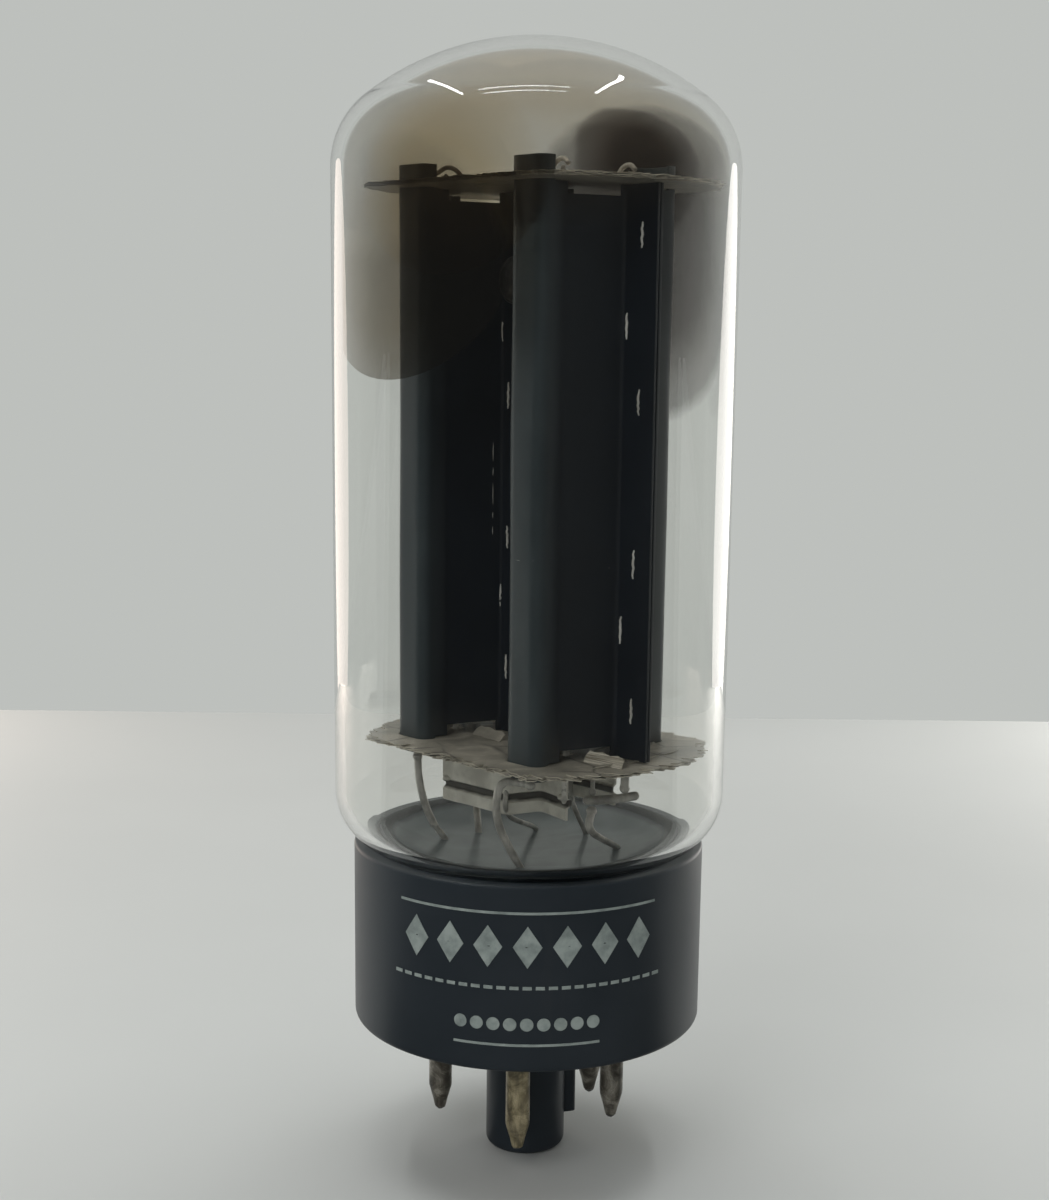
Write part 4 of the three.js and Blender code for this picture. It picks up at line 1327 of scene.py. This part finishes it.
def build_getters(pan_metal, wire_metal):
    for side_name, side in SIDES.items():
        depth = 1.0
        profile = [
            (0, 0.1), (0.7, 0.1), (0.9, 0), (GETTER_R - 0.2, 0), (GETTER_R, 0.2),
            (GETTER_R, depth - 0.12), (GETTER_R - 0.1, depth), (GETTER_R - SHEET + 0.05, depth),
            (GETTER_R - SHEET, depth - 0.1), (GETTER_R - SHEET, SHEET + 0.15),
            (GETTER_R - SHEET - 0.15, SHEET), (0, SHEET),
        ]
        dish = Skin().lathe(profile, 64, closed=False)
        turn = Matrix.Rotation(math.radians(-side * 90), 4, "X")
        dish.points = [turn @ v for v in dish.points]
        dish.points = [mount(v.x, v.y + side * GETTER_Q, v.z + GETTER_Z) for v in dish.points]
        piece(f"pan_{side_name}", dish, pan_metal, "nickel", f"getter_pan_{side_name}", sharp=50)
        q = side * (GETTER_Q - WIRE - 0.1)
        ceiling = UPPER_MICA + MICA_THICK
        spots = [
            mount(0, q, GETTER_Z - 0.5), mount(0, q, GETTER_Z + 2),
            mount(0, side * GETTER_Q, GETTER_Z + 5), mount(0, side * GETTER_Q, ceiling + 0.8),
        ]
        hanger = Skin().sweep(smooth_path(spots), WIRE)
        piece(f"pan_wire_{side_name}", hanger, wire_metal, "nickel", f"getter_wire_{side_name}")


def lead_spots(name):
    foot = polar(LEAD_CIRCLE, LEAD_ANGLES[name], 0)
    under = TAB_BOTTOM - THICK_WIRE - 0.1
    strap_end = LOWER_MICA - STRAP_HEIGHT - 0.3
    strap_q = 5.0 - SHEET - WIRE
    starts = {
        "anode_a": [
            mount(-ANODE_P, -NOSE_Q + 1.0, under),
            mount(-ANODE_P - 0.1, -NOSE_Q + 1.3, under - 2.5),
            mount(-ANODE_P - 0.1, -NOSE_Q + 2.2, under - 5.5),
        ],
        "anode_b": [
            mount(ANODE_P + 0.4, -NOSE_Q + 1.0, under), mount(ANODE_P - 1.7, -NOSE_Q - 0.1, under),
            mount(ANODE_P - 2.4, -NOSE_Q - 0.5, under - 1.3),
            mount(ANODE_P - 2.6, -NOSE_Q - 0.1, under - 4.2),
        ],
        "filament_1": [
            mount(1.6, -strap_q, strap_end + 2.5),
            mount(1.6, -strap_q, strap_end - 1.0),
        ],
        "filament_2": [
            mount(1.5, strap_q + 0.1, strap_end + 2.5),
            mount(1.5, strap_q + 0.1, strap_end - 1.0),
        ],
        "support_a": [
            mount(-CROSS_ROD_P, CROSS_ROD_Q, CROSS_ROD_Z - 2 * THICK_WIRE - 0.1),
            mount(-CROSS_ROD_P, CROSS_ROD_Q, CROSS_ROD_Z - 3),
        ],
        "support_b": [
            mount(CROSS_ROD_P, -CROSS_ROD_Q, CROSS_ROD_Z - 2 * THICK_WIRE - 0.1),
            mount(CROSS_ROD_P, -CROSS_ROD_Q, CROSS_ROD_Z - 3),
        ],
    }
    ends = [
        Vector((foot.x, foot.y, STEM_TOP + 0.4)),
        Vector((foot.x, foot.y, STEM_TOP - STEM_THICK / 2 + 0.3)),
    ]
    return [*starts[name], *ends]


def build_leads(material):
    for name in LEAD_ANGLES:
        radius = WIRE * 0.88 if name.startswith("filament") else THICK_WIRE * 0.9
        spots = lead_spots(name)
        wire = Skin().sweep(smooth_path(spots), radius)
        wire.bead(spots[0] - Vector((0, 0, 0.1)), radius * 1.35, 0.9)
        piece(f"lead_{name}", wire, material, "nickel", f"{name}_lead")


# ---- floor, lights and camera ----
PHOTO_TURN = Matrix.Rotation(math.radians(PHOTO_AZIMUTH), 4, "Z")
PHOTO_BACK = PHOTO_TURN @ Vector((0, 1, 0))
TABLE_BACK = 213
TABLE_REACH = 6400
BACKDROP = (0.510, 0.527, 0.507)
FRONT_SHINE = 0.10


def add_floor():
    """A pale table that glows a little far off, so that it doesn't darken past the lamps.

    Its mirror image in the glass is as dim in front of the tube as the backdrop's is there.
    """
    surface = Surface("pale_floor", Roughness=0.62)
    tone = surface.noise(14, 3)
    colour = surface.ramp(tone, [(0.3, (0.655, 0.675, 0.662)), (0.7, (0.680, 0.700, 0.687))])
    surface.paint(Base_Color=colour)
    surface.bump(surface.noise(1800, 3), 0.05, 0.05)
    along = surface.vector("DOT_PRODUCT", surface.where, PHOTO_BACK)
    far = surface.ramp(surface.vector("LENGTH", surface.where), [(0.28, 0.0), (0.75, 0.30)])
    glow = surface.add("Emission")
    surface.link(far, glow.inputs["Strength"])
    lit = surface.add("AddShader")
    surface.link(surface.shader.outputs[0], lit.inputs[0])
    surface.link(glow.outputs[0], lit.inputs[1])
    mirrored = surface.maths("GREATER_THAN", surface.add("LightPath").outputs["Glossy Depth"], 0.5)
    ahead = surface.maths("LESS_THAN", along, 0)
    dim = surface.unlit("Emission", BACKDROP)
    dim.inputs["Strength"].default_value = FRONT_SHINE
    surface.blended(surface.maths("MULTIPLY", mirrored, ahead), lit.outputs[0], dim.outputs[0])
    mesh = bpy.data.meshes.new("floor")
    far, back = TABLE_REACH, TABLE_BACK
    corners = ((-far, -far), (far, -far), (far, back), (-far, back))
    points = [PHOTO_TURN @ (Vector((x, y, 0)) * MM) for x, y in corners]
    mesh.from_pydata(points, [], [(0, 1, 2, 3)])
    mesh.materials.append(surface.material)
    floor = bpy.data.objects.new("floor", mesh)
    bpy.context.scene.collection.objects.link(floor)


def add_light(name, at, aim, size, radiance, colour=(1, 1, 1), mirrored=True, shape="RECTANGLE"):
    """A soft flat lamp of a given radiance, which the camera doesn't see directly."""
    lamp = bpy.data.lights.new(name, "AREA")
    lamp.shape = shape
    lamp.size, lamp.size_y = (side * MM for side in size)
    lamp.energy = radiance * math.pi * lamp.size * lamp.size_y
    lamp.color = colour
    obj = bpy.data.objects.new(name, lamp)
    bpy.context.scene.collection.objects.link(obj)
    at, aim = Vector(at) * MM, Vector(aim) * MM
    facing = (at - aim).to_track_quat("Z", "Y").to_matrix().to_4x4()
    obj.matrix_world = PHOTO_TURN @ Matrix.Translation(at) @ facing
    obj.visible_camera = False
    obj.visible_transmission = False
    obj.visible_glossy = mirrored


def add_lights():
    """Oval panels behind on both sides, thin ceiling strips, an overhead and two front lamps."""
    tube_middle = (0, 0, 55)
    for name, x, width, radiance, colour in (
        ("panel_left", -172, 125, 1.45, (1.0, 0.82, 0.72)),
        ("panel_right", 176, 138, 2.0, (1.0, 0.94, 0.89)),
    ):
        size = (width, 150)
        add_light(name, (x, 195, 50), tube_middle, size, radiance, colour, shape="ELLIPSE")
    for name, x, y, size in (
        ("strip_left", -235, 192, (12, 412)),
        ("strip_middle_near", -40, -58, (250, 7)),
        ("strip_middle_far", -40, 10, (256, 7)),
        ("strip_right", 178, 160, (12, 372)),
    ):
        add_light(name, (x, y, 600), (x, y, 0), size, 22)
    add_light("overhead", (0, 40, 520), (0, 0, 0), (420, 420), 1.15, mirrored=False)
    add_light("front", (-200, -330, 300), tube_middle, (260, 260), 2.4, mirrored=False)
    add_light("fill", (-60, -380, 50), (0, 0, 40), (170, 150), 2.2, mirrored=False)


def add_world():
    """A pale backdrop all round, which shines from behind the tube and hardly from in front."""
    world = bpy.data.worlds.new("studio")
    world.use_nodes = True
    tree = world.node_tree
    sky = tree.nodes["Background"]
    facing = tree.nodes.new("ShaderNodeVectorMath")
    facing.operation = "DOT_PRODUCT"
    facing.inputs[1].default_value = PHOTO_BACK
    tree.links.new(tree.nodes.new("ShaderNodeTexCoord").outputs["Generated"], facing.inputs[0])
    shine = tree.nodes.new("ShaderNodeMapRange")
    for socket, value in (("From Min", -0.25), ("From Max", 0.45), ("To Min", FRONT_SHINE), ("To Max", 1.0)):
        shine.inputs[socket].default_value = value
    tree.links.new(facing.outputs["Value"], shine.inputs["Value"])
    path = tree.nodes.new("ShaderNodeLightPath").outputs

    def joined(operation, first, second):
        node = tree.nodes.new("ShaderNodeMath")
        node.operation = operation
        for socket, value in zip(node.inputs, (first, second)):
            if isinstance(value, (int, float)):
                socket.default_value = value
            else:
                tree.links.new(value, socket)
        return node.outputs[0]

    bounces = joined("ADD", path["Glossy Depth"], path["Diffuse Depth"])
    unscattered = joined("LESS_THAN", bounces, 0.5)
    seen = joined("MAXIMUM", path["Is Camera Ray"], path["Is Transmission Ray"])
    direct = joined("MULTIPLY", unscattered, seen)
    tree.links.new(joined("MAXIMUM", direct, shine.outputs["Result"]), sky.inputs["Strength"])
    sky.inputs["Color"].default_value = (*BACKDROP, 1)
    bpy.context.scene.world = world


def add_camera():
    """The photograph's viewpoint: a little above the middle, looking slightly down."""
    pitch = 0.18756
    roll = 0.0113
    right = Vector((1, 0, 0))
    up = Vector((0, math.sin(pitch), math.cos(pitch)))
    forward = Vector((0, math.cos(pitch), -math.sin(pitch)))
    tilted_right = math.cos(roll) * right + math.sin(roll) * up
    tilted_up = math.cos(roll) * up - math.sin(roll) * right
    facing = Matrix((tilted_right, tilted_up, -forward)).transposed().to_4x4()
    camera = bpy.data.cameras.new("camera")
    camera.lens = 55.5
    camera.sensor_width = 36
    camera.shift_y = 0.0694
    camera.clip_start = 0.001
    obj = bpy.data.objects.new("camera", camera)
    bpy.context.scene.collection.objects.link(obj)
    at = Vector((-0.556, -177.65, 81.27)) * MM
    obj.matrix_world = PHOTO_TURN @ Matrix.Translation(at) @ facing
    bpy.context.scene.camera = obj


# ---- assembly ----
def build():
    wire = bare_metal("nickel_wire", (0.26, 0.25, 0.23), (0.80, 0.78, 0.73), metallic=0.35)
    pan = bare_metal("getter_pan_metal", (0.05, 0.05, 0.048), (0.20, 0.195, 0.185))
    stake = bare_metal("stake_metal", (0.60, 0.58, 0.54), (0.92, 0.90, 0.86), (0.5, 0.35), metallic=0.2)
    copper = bare_metal("copper_wire", (0.30, 0.13, 0.07), (0.62, 0.32, 0.20))
    clear = glass_material("bulb_glass", (0.940, 0.945, 0.928))
    stem_glass = stem_material()
    mica = mica_material()
    carbon = carbonised_material()
    build_base(phenolic_material())
    build_print(ink_material())
    plain = pin_material("pin_plating", (0.17, 0.155, 0.125), (0.50, 0.47, 0.40))
    gilt = pin_material("pin_plating_worn", (0.26, 0.22, 0.13), (0.62, 0.53, 0.34))
    build_pins(plain, gilt, solder_material(), copper)
    build_cement(cement_material())
    build_bulb(clear)
    build_stem(stem_glass)
    build_flash()
    build_mica("mica_lower", "lower_mica", LOWER_MICA, False, 5, mica)
    build_mica("mica_upper", "upper_mica", UPPER_MICA, True, 8, mica)
    for letter, outward in ANODES.items():
        for side_name, side in SIDES.items():
            build_anode_half(letter, outward, side_name, side, carbon)
    build_lances(stake)
    build_scratches(stake)
    build_filaments(oxide_material(), wire)
    build_straps(strap_material(STRAP_GROOVE))
    build_links(wire)
    build_getters(pan, wire)
    build_leads(wire)


add_camera()
build()
add_floor()
add_lights()
add_world()
bpy.context.scene.view_settings.view_transform = "Standard"
